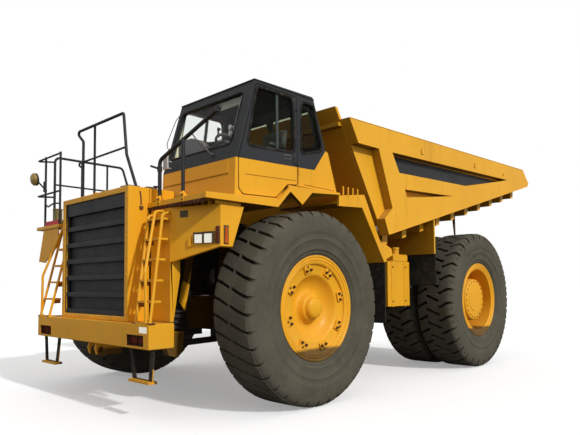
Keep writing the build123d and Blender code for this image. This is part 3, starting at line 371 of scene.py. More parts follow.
YELLOW = (0.84, 0.395, 0.014)
CHARCOAL = (0.027, 0.029, 0.031)
SHADOW = {"roughness": 0.7, "wear": 0.0, "gloss": 0.0, "shine": 0.1}
LOOKS = {  # material slot: its looks
    "yellow_paint": {
        "yellow": paint("yellow_enamel", YELLOW),
        # the same enamel without the painted shade of the engine bay and underside
        "clean": paint("unshaded_enamel", YELLOW, shaded=False),
        "door": paint("two_tone_enamel", YELLOW, upper=CHARCOAL),
        "seam": paint("seam_shade", (0.33, 0.135, 0.010), **SHADOW),
        "gap": paint("gap_shade", (0.16, 0.060, 0.008), upper=(0.012, 0.012, 0.013), **SHADOW),
        # the ladder treads' enamel, darkened as painted shade, with dust and wear
        "dark_yellow": paint(
            "shaded_step_enamel", (0.30, 0.12, 0.025), roughness=0.6, dust=0.4, wear=0.6, gloss=0.0
        ),
    },
    "bed_paint": {
        # the dump body's faces that look ahead get painted shade
        "bed": paint("bed_enamel", (0.84, 0.41, 0.020), roughness=0.5, dust=0.30, grime=0.4, wear=0.5,
                     gloss=0.04, front_shade=0.75),
    },
    "dark_paint": {
        "charcoal": paint(
            "charcoal_enamel", CHARCOAL, roughness=0.5, dust=0.05, grime=0.1, wear=0.2, gloss=0.04
        ),
    },
    "chassis_dark": {
        "chassis": metal("cast_metal", (0.055, 0.050, 0.045), roughness=0.58, oil=0.5, metallic=0.35),
        "bolt": metal("bolt_metal", (0.13, 0.055, 0.018), roughness=0.6, metallic=0.2),
        "brass": metal("brass_back", (0.48, 0.33, 0.10), roughness=0.35, metallic=0.6),
        "rust": metal("rusty_steel", (0.17, 0.055, 0.020), roughness=0.72, oil=0.4, metallic=0.15),
    },
    "bright_steel": {
        "steel": metal("bright_steel", (0.55, 0.55, 0.56), roughness=0.16, oil=0.12, metallic=1.0,
                       scratches=0.0004),
        "mirror": metal("mirror_glass", (0.75, 0.76, 0.78), roughness=0.10, oil=0.0, metallic=1.0),
    },
    "tyre_rubber": {"tyre": rubber("tyre_rubber", (0.090, 0.082, 0.060), tread=True)},
    "rubber_sheet": {
        "sheet": rubber("sheet_rubber", (0.030, 0.030, 0.026)),
        "gasket": rubber("window_rubber", (0.014, 0.014, 0.014)),
    },
    "cab_plastic": {
        "cream": plastic("cream_lining", (0.62, 0.56, 0.36)),
        "slide": plastic("pane_slide", (0.030, 0.045, 0.038)),
        "visor": plastic("visor_board", (0.11, 0.105, 0.085)),
        "plastic": plastic("cab_plastic", (0.060, 0.060, 0.064)),
        "pale": plastic("pale_panel", (0.42, 0.42, 0.40)),
        "olive": plastic("olive_panel", (0.20, 0.155, 0.035)),
        "patch": plastic("dark_patch", (0.060, 0.045, 0.014)),
        "frame_brown": plastic("lamp_frame", (0.085, 0.045, 0.014)),
        "red_plastic": plastic("red_panel", (0.55, 0.014, 0.010)),
    },
    "cab_window": {"glass": glass("cab_window", (0.93, 0.95, 0.93))},
    "lamp_glass": {
        "white_lens": lens("white_lens", (0.97, 0.95, 0.85), clear=0.1, painted_glow=0.35),
        "amber_lens": lens("amber_lens", (0.50, 0.085, 0.001), clear=0.0),
        "red_lens": lens("red_lens", (0.15, 0.022, 0.005), clear=0.0),
    },
    "seat_fabric": {"fabric": fabric("seat_cloth", (0.085, 0.085, 0.095))},
    "floor_steel": {"floor_steel": steel_floor("scoured_steel")},
}
M = {look: material for looks in LOOKS.values() for look, material in looks.items()}


# ---------------------------------------------------------------- mesh building
def unit_across(direction):
    """Two unit vectors square to a direction and to each other."""
    direction = direction.normalized()
    helper = Vector((0, 0, 1)) if abs(direction.z) < 0.9 else Vector((1, 0, 0))
    first = direction.cross(helper).normalized()
    return first, direction.cross(first).normalized()


def rounded_corner(before, corner, after, bend, steps):
    """Short chords in place of a corner."""
    reach = min(bend, (before - corner).length * 0.48, (after - corner).length * 0.48)
    start = corner + (before - corner).normalized() * reach
    end = corner + (after - corner).normalized() * reach
    shares = [step / steps for step in range(steps + 1)]
    return [start * (1 - t) ** 2 + corner * 2 * t * (1 - t) + end * t ** 2 for t in shares]


def circle(centre, first, second, radius, sides):
    """Points round a centre, in the plane of two unit vectors."""
    turns = [2 * math.pi * k / sides for k in range(sides)]
    return [centre + (first * math.cos(t) + second * math.sin(t)) * radius for t in turns]


def band(low, high, count):
    """Faces between two rings of points whose first points are numbered low and high."""
    return [(low + k, low + (k + 1) % count, high + (k + 1) % count, high + k) for k in range(count)]


class Shape:
    """A mesh gathered from simple closed forms."""

    def __init__(self):
        self.points = []
        self.faces = []

    def add(self, points, faces):
        start = len(self.points)
        self.points += [tuple(point) for point in points]
        self.faces += [tuple(start + index for index in face) for face in faces]
        return self

    def hull_of(self, bottom, top):
        """A closed prism between two outlines with as many points."""
        count = len(bottom)
        caps = [tuple(reversed(range(count))), tuple(range(count, 2 * count))]
        return self.add([*bottom, *top], band(0, count, count) + caps)

    def box(self, ahead, y, z):
        a, b = sorted(ahead), sorted(y)
        ring = [(a[0], b[0]), (a[1], b[0]), (a[1], b[1]), (a[0], b[1])]
        return self.hull_of(*([at(*corner, height) for corner in ring] for height in sorted(z)))

    def side_slab(self, outline, y):
        """A side outline of (ahead, z) points, as thick as the y range."""
        return self.hull_of(*([at(p, depth, q) for p, q in outline] for depth in sorted(y, reverse=True)))

    def front_slab(self, outline, ahead):
        """A front outline of (y, z) points, as thick as the ahead range."""
        return self.hull_of(*([at(depth, p, q) for p, q in outline] for depth in sorted(ahead)))

    def rod(self, start, end, radius, sides=16, end_radius=None):
        start, end = Vector(start), Vector(end)
        across = unit_across(end - start)
        end_ring = circle(end, *across, radius if end_radius is None else end_radius, sides)
        return self.hull_of(circle(start, *across, radius, sides), end_ring)

    def post(self, ahead, y, z, radius, sides=16, end_radius=None):
        """An upright rod between two heights."""
        return self.rod(at(ahead, y, z[0]), at(ahead, y, z[1]), radius, sides, end_radius)

    def tube(self, points, radius, bend=0.06, sides=12):
        """A bent round tube with closed ends."""
        points = [Vector(point) for point in points]
        route = [points[0]]
        for corner in zip(points, points[1:], points[2:]):
            route += rounded_corner(*corner, bend, 5)
        route.append(points[-1])
        ways = [(b - a).normalized() for a, b in zip(route, route[1:])]
        across = unit_across(ways[0])[0]
        rings = []
        for index, centre in enumerate(route):
            way = ways[max(index - 1, 0)] + ways[min(index, len(ways) - 1)]
            way.normalize()
            across = (across - way * across.dot(way)).normalized()
            rings += circle(centre, across, way.cross(across), radius, sides)
        faces = [tuple(reversed(range(sides)))]
        for low in range(0, len(rings) - sides, sides):
            faces += band(low, low + sides, sides)
        faces.append(tuple(range(len(rings) - sides, len(rings))))
        return self.add(rings, faces)

    def loop(self, corners, normal, width, depth, bend=0.07, shift=0.0):
        """A closed rounded strip along an outline: its width in the outline's plane, its depth across it,
        its middle as far out of the outline as shift says."""
        normal = Vector(normal).normalized()
        corners = [Vector(corner) for corner in corners]
        route = []
        for corner in zip(corners[-1:] + corners, corners, corners[1:] + corners[:1]):
            route += rounded_corner(*corner, bend, 6)
        count = len(route)
        turning = sum((a.cross(b).dot(normal) for a, b in zip(route, route[1:] + route[:1])), 0.0)
        shift = math.copysign(shift, turning)
        half, deep = width / 2, depth / 2
        section = [(-half, -deep), (-half, deep * 0.4), (-half * 0.6, deep), (half * 0.6, deep),
                   (half, deep * 0.4), (half, -deep)]
        size = len(section)
        points, faces = [], []
        for k, centre in enumerate(route):
            side = (route[(k + 1) % count] - route[k - 1]).cross(normal).normalized()
            points += [centre + side * (out + shift) + normal * up for out, up in section]
            faces += band(k * size, (k + 1) % count * size, size)
        return self.add(points, faces)

    def lathe(self, profile, centre, axis=(0, 1, 0), sides=64, closed=True):
        """A ring or disc turned about an axis through centre, from (along, radius) points."""
        axis = Vector(axis)
        first, second = unit_across(axis)
        points, rows = [], []
        for along, radius in profile:
            middle_point = Vector(centre) + axis * along
            if radius < 1e-6:
                rows.append([len(points)] * sides)
                points.append(middle_point)
            else:
                rows.append([len(points) + k for k in range(sides)])
                points += circle(middle_point, first, second, radius, sides)
        pairs = list(zip(rows, rows[1:]))
        if closed:
            pairs.append((rows[-1], rows[0]))
        faces = []
        for low, high in pairs:
            for k in range(sides):
                n = (k + 1) % sides
                corners = list(dict.fromkeys((low[k], low[n], high[n], high[k])))
                if len(corners) > 2:
                    faces.append(tuple(corners))
        return self.add(points, faces)

    def bolt(self, centre, direction, size=0.018):
        """A hexagon head on a washer."""
        centre, direction = Vector(centre), Vector(direction).normalized()
        self.rod(centre, centre + direction * size * 0.25, size * 1.25, 14)
        return self.rod(centre, centre + direction * size * 0.95, size, 6, size * 0.94)

    def bolts(self, places, direction, size=0.018):
        for place in places:
            self.bolt(place, direction, size)
        return self

    def piece(self, name, body, look, bevel=0.0, smooth_angle=35.0):
        """The finished object, on its body, with its material."""
        mesh = bpy.data.meshes.new(name)
        mesh.from_pydata(self.points, [], self.faces)
        mesh.update()
        mesh.materials.append(M[look])
        piece = bpy.data.objects.new(name, mesh)
        bpy.context.scene.collection.objects.link(piece)
        face_outwards(mesh)
        mesh.shade_smooth()
        mesh.set_sharp_from_angle(angle=math.radians(smooth_angle))
        if bevel:
            rounding = piece.modifiers.new("rounded edges", "BEVEL")
            rounding.width = bevel
            rounding.segments = 2
            rounding.angle_limit = math.radians(40)
        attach(piece, body)
        return piece


def face_outwards(mesh):
    shell = bmesh.new()
    shell.from_mesh(mesh)
    bmesh.ops.recalc_face_normals(shell, faces=shell.faces)
    shell.to_mesh(mesh)
    shell.free()


def shapes(count):
    return [Shape() for _ in range(count)]


def fixed(*rows):
    """Pieces that ride on the chassis, from rows of shape, name, look and, if they have it, edge radius."""
    for shape, name, look, *bevel in rows:
        shape.piece(name, "chassis", look, *bevel)


# ---------------------------------------------------------------- the frame's own nodes
NODE_LOOKS = {  # look: nodes that keep their solids
    "yellow": (
        "frame", "front_bumper", "grille_surround", "hood", "front_fenders", "decks", "cab_lower",
        "mudguards", "side_tanks", "hoist_barrel_left", "hoist_barrel_right", "ladders",
    ),
    "door": ("cab_door",),
    "bed": ("bed_sides", "bed_front_wall", "bed_bolsters", "bed_underframe"),
    "charcoal": ("handrails", "mirrors", "cab_upper", "cab_roof", "grille"),
    "chassis": (
        "engine_block", "oil_coolers", "front_arms", "suspension_struts", "rear_axle", "tie_rod",
        "knuckle_left", "knuckle_right",
    ),
    "steel": ("hoist_sleeve_left", "hoist_sleeve_right", "hoist_rod_left", "hoist_rod_right"),
    "sheet": ("mudflaps", "bed_flaps"),
    "glass": ("cab_glass", "door_glass"),
    "plastic": ("cab_dashboard",),
    "floor_steel": ("bed_floor",),
}
EDGE_ROUND = {  # node: radius of its rounded edges, where it isn't the usual
    "bed_sides": 0.014, "bed_front_wall": 0.008, "front_bumper": 0.014, "grille_surround": 0.012,
    "hood": 0.012,
    "cab_roof": 0.018, "cab_upper": 0.010, "cab_lower": 0.010, "cab_door": 0.006, "front_fenders": 0.010,
    "mudguards": 0.006, "handrails": 0.0, "mirrors": 0.0, "cab_glass": 0.0, "door_glass": 0.0,
    "suspension_struts": 0.0, "tie_rod": 0.0, "ladders": 0.003, "mudflaps": 0.004,
}
USUAL_ROUND = 0.006


def dress_nodes():
    """Gives each kept CAD node its material, and rounds its sheet edges with modifiers alone."""
    for look, names in NODE_LOOKS.items():
        for name in names:
            node = NODES[name]
            node.data.materials.clear()
            node.data.materials.append(M[look])
            for polygon in node.data.polygons:
                polygon.use_smooth = True
            radius = EDGE_ROUND.get(name, USUAL_ROUND)
            if radius:
                weld = node.modifiers.new("weld", "WELD")
                weld.merge_threshold = 0.0001
                flats = node.modifiers.new("flats", "DECIMATE")
                flats.decimate_type = "DISSOLVE"
                flats.angle_limit = math.radians(1.0)
                rounding = node.modifiers.new("rounded edges", "BEVEL")
                rounding.width = radius
                rounding.segments = 2
                rounding.angle_limit = math.radians(35)
                rounding.use_clamp_overlap = True
                normals = node.modifiers.new("normals", "WEIGHTED_NORMAL")
                normals.keep_sharp = False


# ---------------------------------------------------------------- tyres
FRONT_PITCHES = 38
REAR_PITCHES = 32
GROOVE_EDGE = 0.105
GROOVE_FLOOR = 0.080
# Each row of a tread table: distance out from the middle, radius, depth of the grooves at the pitch line,
# depth of those half a pitch on, and how far the row follows the zigzag between columns of blocks.
FRONT_TREAD = (
    (0.000, 1.3300, 0.000, 0.000, 0), (0.014, 1.3300, 0.000, 0.000, 0), (0.022, 1.3300, 0.062, 0.000, 0),
    (0.080, 1.3300, 0.072, 0.000, 0), (0.150, 1.3300, 0.072, 0.000, 0), (0.220, 1.3290, 0.068, 0.000, 0),
    (0.270, 1.3262, 0.062, 0.000, 0), (0.296, 1.3236, 0.054, 0.000, 0), (0.302, 1.3215, 0.046, 0.000, 0),
    (0.306, 1.3125, 0.036, 0.000, 0), (0.318, 1.3065, 0.028, 0.000, 0), (0.336, 1.2900, 0.018, 0.000, 0),
    (0.352, 1.2600, 0.008, 0.000, 0), (0.361, 1.2250, 0.000, 0.000, 0), (0.366, 1.1900, 0.000, 0.000, 0),
)
REAR_TREAD = (
    (0.000, 1.3300, 0.000, 0.060, 0), (0.060, 1.3300, 0.000, 0.064, 0.5), (0.098, 1.3300, 0.000, 0.064, 1),
    (0.104, 1.3300, 0.064, 0.064, 1), (0.122, 1.3300, 0.064, 0.064, 1), (0.128, 1.3300, 0.064, 0.000, 1),
    (0.170, 1.3300, 0.066, 0.000, 0.5), (0.240, 1.3280, 0.064, 0.000, 0), (0.290, 1.3220, 0.060, 0.000, 0),
    (0.322, 1.3060, 0.056, 0.000, 0), (0.344, 1.2800, 0.050, 0.012, 0), (0.356, 1.2480, 0.038, 0.012, 0),
    (0.362, 1.2200, 0.026, 0.000, 0), (0.366, 1.1900, 0.000, 0.000, 0),
)
SIDEWALL = (  # distance out, radius, from the shoulder in to the bead behind the rim's flange
    (0.3700, 1.150), (0.3715, 1.100), (0.3710, 1.050), (0.3700, 1.040), (0.3665, 1.034), (0.3660, 1.000),
    (0.3620, 0.960), (0.3660, 0.952), (0.3660, 0.940), (0.3600, 0.932), (0.3500, 0.880), (0.3360, 0.825),
    (0.3385, 0.818), (0.3375, 0.806), (0.3300, 0.800), (0.3160, 0.772), (0.3190, 0.765), (0.3170, 0.755),
    (0.3050, 0.746), (0.2960, 0.735), (0.2930, 0.700), (0.2925, 0.655),
)
ZIGZAG = 0.020
DARK_DEPTH = 0.05
FIRST_SPIN = 0.05
TWIN_SPIN = 0.09


def groove_lines():
    """(share of a pitch, in the pitch-line groove, in the half-pitch groove) once round one pitch."""
    lines = []
    for centre in (0.0, 0.5):
        for offset, floor in ((-GROOVE_EDGE, 0), (-GROOVE_FLOOR, 1), (GROOVE_FLOOR, 1), (GROOVE_EDGE, 0)):
            lines.append((centre + offset, floor * (centre == 0.0), floor * (centre == 0.5)))
        lines.append((centre + 0.17, 0, 0))
        lines.append((centre + 0.33, 0, 0))
    return sorted(lines)


def front_sweep(out):
    """How far a front tyre's groove runs round, in pitches, at a distance out: a slant that levels out."""
    u = min(max((abs(out) - 0.014) / 0.300, 0.0), 1.0)
    return math.copysign(0.65 * u - 0.14 * u * u, -out)


def rear_sweep(out):
    """How far a rear tyre's cross groove slants, in pitches."""
    return -0.16 * math.sin(out / 0.33 * math.pi * 1.5)


def tyre(shape, cavity, centre, tread, sweep, pitches, spin):
    """One tyre: its section carried round, with each groove's rows lowered along the section's normal."""
    right = [*tread, *((out, radius, 0.0, 0.0, 0) for out, radius in SIDEWALL)]
    section = [(-out, *rest) for out, *rest in reversed(right[1:])] + right
    lines = groove_lines()
    columns = [(pitch + share, a, b) for pitch in range(pitches) for share, a, b in lines]
    rows = len(section)
    points = []
    for turn, in_a, in_b in columns:
        zig = ZIGZAG * (1 - 4 * abs((turn + 0.25) % 1.0 - 0.5))
        for k, (out, radius, depth_a, depth_b, follow) in enumerate(section):
            before, after = section[max(k - 1, 0)], section[min(k + 1, rows - 1)]
            run = Vector((after[0] - before[0], after[1] - before[1])).normalized()
            depth = max(depth_a * in_a, depth_b * in_b)
            y = out + run.y * depth + math.copysign(zig * follow, out) * (out != 0)
            r = radius - run.x * depth
            angle = 2 * math.pi * (turn + sweep(out)) / pitches + spin
            points.append((centre.x + r * math.cos(angle), centre.y + y, centre.z + r * math.sin(angle)))
            # share of the grooves' painted shade, full at DARK_DEPTH
            cavity.append(min(depth / DARK_DEPTH, 1.0))
    faces = []
    for c in range(len(columns)):
        here, there = c * rows, (c + 1) % len(columns) * rows
        for k in range(rows):
            n = (k + 1) % rows
            faces.append((here + k, there + k, there + n, here + n))
    shape.add(points, faces)


def make_tyres():
    for side_name, side in SIDES:
        front = (f"front_tyre_{side_name}", f"front_wheel_{side_name}", (FRONT_TYRE_Y,), 0.0)
        rear = (f"rear_tyres_{side_name}", f"rear_wheels_{side_name}", REAR_TYRE_Y, REAR_AHEAD)
        for (node, body, places, ahead), *style in (
            (front, FRONT_TREAD, front_sweep, FRONT_PITCHES), (rear, REAR_TREAD, rear_sweep, REAR_PITCHES),
        ):
            shape, cavity = Shape(), []
            for index, y in enumerate(places):
                tyre(shape, cavity, at(ahead, side * y, AXLE_Z), *style, FIRST_SPIN + TWIN_SPIN * index)
            made = shape.piece(f"dressed_{node}", body, "tyre", smooth_angle=38.0)
            layer = made.data.attributes.new("cavity", "FLOAT", "POINT")
            layer.data.foreach_set("value", cavity)
            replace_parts(made, node)


# ---------------------------------------------------------------- rims and hubs
RIM_SIDES = 96
LIP = (  # distance out from the tyre's middle and radius, over the flange and lock ring to the gutter
    (0.2915, 0.655), (0.2915, 0.716), (0.2960, 0.724), (0.3040, 0.724), (0.3080, 0.717), (0.3070, 0.702),
    (0.2985, 0.694), (0.2950, 0.684), (0.2995, 0.679), (0.3010, 0.668), (0.2985, 0.658), (0.2905, 0.654),
    (0.2880, 0.642), (0.2925, 0.636), (0.2900, 0.626),
)
WELL_OUT = 0.280
WELL_R = 0.606
FRONT_DISC = (  # y and radius: gutter, clamp ledge, dish, hub's cap, and back behind the dish
    (2.450, 0.618), (2.437, 0.606), (2.418, 0.598), (2.412, 0.585), (2.410, 0.470), (2.404, 0.452),
    (2.386, 0.436), (2.352, 0.412), (2.316, 0.378), (2.288, 0.335), (2.270, 0.285), (2.266, 0.248),
    (2.276, 0.222), (2.300, 0.203), (2.330, 0.190), (2.352, 0.180), (2.362, 0.166), (2.364, 0.152),
    (2.372, 0.148), (2.398, 0.145), (2.420, 0.136), (2.437, 0.114), (2.446, 0.080),
    (2.450, 0.040), (2.451, 0.0),
    (2.315, 0.0), (2.315, 0.146), (1.905, 0.146), (1.905, 0.230), (2.190, 0.230), (2.225, 0.345),
    (2.345, 0.455), (2.345, 0.618),
)
REAR_DRIVE = (  # y and radius: the final drive's face and drum, the disc, and back along the axle
    (2.376, 0.0), (2.376, 0.225), (2.368, 0.232), (2.368, 0.385), (2.362, 0.398), (2.350, 0.408),
    (2.110, 0.436), (2.020, 0.442), (2.012, 0.452), (1.995, 0.456), (1.990, 0.470), (1.988, 0.606),
    (1.945, 0.606), (1.945, 0.330), (1.000, 0.330), (1.000, 0.206), (1.880, 0.206), (1.880, 0.0),
)
REAR_BAND = ((1.590, 0.612), (1.870, 0.612), (1.870, 0.580), (1.590, 0.580))
FRONT_CLAMPS = {"count": 8, "first": 0.11, "ledge_y": 2.412, "ahead": 0, "radius": 0.528}
REAR_CLAMPS = {"count": 10, "first": 0.0, "ledge_y": 1.990, "ahead": REAR_AHEAD, "radius": 0.540}
DRIVE_BOLTS = 20
DRIVE_BOLT_R = 0.362
CLAMP_HALF = 0.075
CLAMP_THICK = 0.024


def rim_barrel(shape, centre, side):
    """The well between the two flanges of one rim, with the lock ring's side outwards."""
    outer = [(side * out, radius) for out, radius in LIP]
    inner = [(-side * out, radius) for out, radius in reversed(LIP)]
    well = [(side * WELL_OUT, WELL_R), (-side * WELL_OUT, WELL_R)]
    shape.lathe(inner + outer + well, centre, sides=RIM_SIDES)


def turned(shape, outline, ahead, side):
    """A form of (y, radius) points turned about an axle."""
    shape.lathe([(side * y, radius) for y, radius in outline], at(ahead, 0, AXLE_Z), sides=RIM_SIDES)


def wheel_point(ahead, y, radius, turn):
    return at(ahead + radius * math.cos(turn), y, AXLE_Z + radius * math.sin(turn))


def place_clamps(clamps, nuts, side, count, first, ledge_y, ahead, radius):
    """Wedge clamps that span the gutter, each with two nuts on studs."""
    out = Vector((0, side, 0))
    for k in range(count):
        turn = 2 * math.pi * (k + 0.5) / count + first
        ring = []
        for offset, reach in ((-1, -0.035), (1, -0.035), (0.8, 0.075), (-0.8, 0.075)):
            angle = turn + CLAMP_HALF * offset / radius
            ring.append(wheel_point(ahead, side * ledge_y, radius + reach, angle))
        clamps.hull_of(ring, [point + out * CLAMP_THICK for point in ring])
        face_y = side * (ledge_y + CLAMP_THICK)
        for offset in (-0.042, 0.042):
            centre = wheel_point(ahead, face_y, radius + 0.004, turn + offset / radius)
            nuts.rod(centre, centre + out * 0.020, 0.021, 6)
            nuts.rod(centre, centre + out * 0.036, 0.010, 10)
        centre = wheel_point(ahead, face_y, radius + 0.050, turn)
        nuts.rod(centre, centre + out * 0.010, 0.014, 8)


def make_front_rims():
    for side_name, side in SIDES:
        node, body = f"front_rim_{side_name}", f"front_wheel_{side_name}"
        rim, clamps, nuts = shapes(3)
        rim_barrel(rim, at(0, side * FRONT_TYRE_Y, AXLE_Z), side)
        turned(rim, FRONT_DISC, 0, side)
        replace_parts(rim.piece(f"dressed_{node}", body, "yellow", smooth_angle=40.0), node)
        place_clamps(clamps, nuts, side, **FRONT_CLAMPS)
        clamps.piece(f"rim_clamps_front_{side_name}", body, "yellow", bevel=0.004)
        nuts.piece(f"rim_nuts_front_{side_name}", body, "bolt")


def make_rear_rims():
    for side_name, side in SIDES:
        node, body = f"rear_rims_{side_name}", f"rear_wheels_{side_name}"
        rim, clamps, nuts = shapes(3)
        for y in REAR_TYRE_Y:
            rim_barrel(rim, at(REAR_AHEAD, side * y, AXLE_Z), side)
        turned(rim, REAR_DRIVE, REAR_AHEAD, side)
        turned(rim, REAR_BAND, REAR_AHEAD, side)
        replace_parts(rim.piece(f"dressed_{node}", body, "yellow", smooth_angle=40.0), node)
        face_y = side * REAR_DRIVE[3][0]
        turns = [2 * math.pi * k / DRIVE_BOLTS for k in range(DRIVE_BOLTS)]
        nuts.bolts(
            [wheel_point(REAR_AHEAD, face_y, DRIVE_BOLT_R, turn) for turn in turns], (0, side, 0), 0.011
        )
        place_clamps(clamps, nuts, side, **REAR_CLAMPS)
        nuts.piece(f"rim_nuts_rear_{side_name}", body, "bolt")
        clamps.piece(f"rim_clamps_rear_{side_name}", body, "yellow", bevel=0.004)


# ---------------------------------------------------------------- cab
CAB_LEFT = 2.160
CAB_RIGHT = 0.545
DOOR_EDGE = (
    (1.155, 3.280), (1.155, 2.880), (1.085, 2.812), (0.485, 2.830), (0.262, 3.036), (0.060, 3.052),
    (0.060, 4.310), (0.850, 4.310),
)
DOOR_WINDOW = ((0.822, 4.264), (0.150, 4.268), (0.119, 3.517), (0.985, 3.475))
RIGHT_WINDOW = ((0.822, 4.264), (0.105, 4.268), (0.085, 3.517), (0.985, 3.475))
QUARTER_WINDOW = ((-0.035, 4.258), (-0.286, 4.262), (-0.480, 3.640), (-0.027, 3.522))
SCREEN = ((0.640, 3.485), (1.990, 3.485), (1.990, 4.205), (0.640, 4.205))
REAR_WINDOWS = (
    ((0.640, 3.730), (1.170, 3.730), (1.170, 4.225), (0.640, 4.225)),
    ((1.235, 3.730), (2.050, 3.730), (2.050, 4.225), (1.235, 4.225)),
)
SCREEN_RAKE = 0.325 / 1.075
REAR_LEAN = 0.260 / 0.704
FRONT_RAKE = 0.0388
BEAD = 0.0045
SEAT_CAP = 0.012
COWL_FRONT = (
    (0.612, 3.20), (0.612, 3.770), (0.74, 3.790), (0.92, 3.785), (1.08, 3.730), (1.20, 3.650),
    (1.27, 3.54), (1.30, 3.20),
)
COWL_SIDE = ((0.86, 3.09), (0.86, 3.835), (0.50, 3.855), (0.10, 3.960), (0.06, 3.93), (0.06, 3.09))
SEAT_SHELL = (
    (-0.105, 3.35), (-0.115, 3.45), (-0.168, 3.955), (-0.158, 3.955), (-0.103, 3.45), (-0.093, 3.35),
)


def screen_ahead(z):
    """Distance ahead of the raked windscreen's outer face at a height."""
    return 1.205 - (z - 3.270) * SCREEN_RAKE


def rear_ahead(z):
    """Distance ahead of the cab's upper rear face at a height."""
    return -0.560 + (z - 3.641) * REAR_LEAN


def on_screen(y, z, out=0.0):
    return at(screen_ahead(z) + out, y, z)


def on_cab_front(y, z):
    """A point of the lower cab's front face."""
    return at(1.2255 - (z - 2.754) * FRONT_RAKE, y, z)


def on_side(outline, y=CAB_LEFT):
    return [at(ahead, y, z) for ahead, z in outline]


def make_window_rubbers():
    rubbers, door, slide, gap, glint = shapes(5)
    for window, y in ((QUARTER_WINDOW, CAB_LEFT), (RIGHT_WINDOW, CAB_RIGHT)):
        rubbers.loop(on_side(window, y), (0, 1, 0), 0.036, 0.014, shift=0.013)
    rubbers.loop([on_screen(*corner) for corner in SCREEN], (1, 0, SCREEN_RAKE), 0.030, 0.014, shift=0.010)
    for window in REAR_WINDOWS:
        corners = [at(rear_ahead(z), y, z) for y, z in window]
        rubbers.loop(corners, (-1, 0, REAR_LEAN), 0.030, 0.014, shift=0.010)
    rubbers.piece("window_rubbers", "chassis", "gasket", smooth_angle=50)
    door.loop(on_side(DOOR_WINDOW), (0, 1, 0), 0.040, 0.014, shift=0.016)
    door.piece("door_rubber", "cab_door", "gasket", smooth_angle=50)
    slide.box((0.412, 0.455), (2.118, 2.140), (3.480, 4.280))
    slide.piece("door_pane_slide", "cab_door", "slide", 0.003)
    gap.loop(on_side(DOOR_EDGE), (0, 1, 0), 0.014, 0.004, bend=0.04)
    gap.piece("door_gap", "cab_door", "gap", smooth_angle=50)
    # a pale rod along the windscreen's right edge: a painted highlight of the glass edge catching light
    glint.rod(on_screen(1.968, 3.66, -0.010), on_screen(1.968, 4.17, -0.010), 0.0055, 8)
    fixed((glint, "screen_trim", "pale"))


def make_cab_seams():
    """Folds and seams of the cab's sheets, as half-sunk beads."""
    lines, door, panel = shapes(3)
    lines.rod(on_cab_front(0.56, 3.073), on_cab_front(2.03, 3.073), BEAD, 8)
    for start, end, size in (
        ((0.03, 3.31), (0.03, 3.18), 1), ((-0.08, 3.075), (-0.76, 3.066), 1),
        ((0.045, 3.045), (0.045, 3.30), 0.7),
    ):
        lines.rod(*on_side((start, end)), BEAD * size, 8)
    fixed((lines, "cab_seams", "seam"))
    door.rod(*on_side(((1.04, 3.075), (0.10, 3.11))), BEAD, 8)
    door.piece("door_seams", "cab_door", "seam")
    corners = [on_cab_front(y, z) for y, z in ((0.60, 3.085), (2.018, 3.085), (2.018, 3.235), (0.60, 3.235))]
    panel.hull_of(corners, [corner + Vector((0.006, 0, 0)) for corner in corners])
    fixed((panel, "cab_front_panel", "yellow", 0.002))


def make_door_fittings():
    handle, hinges = shapes(2)
    handle.side_slab([(0.33, 3.455), (0.19, 3.460), (0.19, 3.385), (0.33, 3.380)], (2.155, 2.166))
    grip = [at(0.31, 2.162, 3.42), at(0.30, 2.188, 3.425), at(0.22, 2.188, 3.43), at(0.21, 2.162, 3.43)]
    handle.tube(grip, 0.008, 0.02)
    handle.piece("door_handle", "cab_door", "plastic", 0.003)
    for z in (3.39, 4.17):
        hinges.box((0.070, 0.150), (2.158, 2.168), (z - 0.055, z + 0.055))
        hinges.bolts([at(0.125, 2.168, z - 0.03), at(0.125, 2.168, z + 0.03)], (0, 1, 0), 0.009)
    hinges.piece("door_hinge_leaves", "cab_door", "charcoal", 0.002)


def make_cab_fittings():
    """Wiper, latches, dials and the mirror on the windscreen's sill."""
    wiper, knobs, dials, mirror = shapes(4)
    wiper.rod(on_screen(1.66, 3.385), on_screen(1.66, 3.385, 0.045), 0.022, 14)
    wiper.tube([on_screen(1.66, 3.385, 0.035), on_screen(1.55, 3.47, 0.040), on_screen(1.25, 3.66, 0.030)],
               0.009, 0.05)
    wiper.rod(on_screen(1.43, 3.50, 0.016), on_screen(1.06, 3.80, 0.016), 0.010, 6)
    for z in (4.129, 4.038):
        knobs.rod(at(0.205, 0.576, z), at(0.205, 0.625, z), 0.026, 16, 0.020)
    knobs.box((0.190, 0.220), (0.577, 0.586), (4.00, 4.165))
    knobs.post(1.56, 0.90, (2.960, 2.992), 0.018, 14)
    knobs.post(1.56, 0.90, (2.990, 3.014), 0.036, 14, 0.030)
    knobs.box((1.80, 1.98), (0.70, 0.90), (2.963, 2.984))
    knobs.box((1.60, 1.70), (0.79, 0.92), (2.963, 2.990))
    for z in (3.778, 3.698):
        dials.rod(at(0.930, 1.760, z), at(0.960, 1.750, z), 0.036, 20)
        dials.tube([at(0.935, 1.760, z), at(0.925, 1.93, z - 0.01), at(0.915, 2.105, z)], 0.009, 0.05, 8)
    mirror.hull_of(*(
        [at(1.262, inner, z), at(1.292, inner, z), at(1.300, outer, z), at(1.270, outer, z)]
        for z, inner, outer in ((3.310, 0.66, 0.79), (3.490, 0.67, 0.78))
    ))
    for z in (3.34, 3.44):
        mirror.rod(at(1.275, 0.72, z), at(1.160, 0.70, z), 0.009, 10)
    fixed((wiper, "wiper", "plastic"), (knobs, "latch_knobs", "plastic"), (dials, "cab_dials", "pale", 0.003),
          (mirror, "sill_mirror", "pale", 0.012))


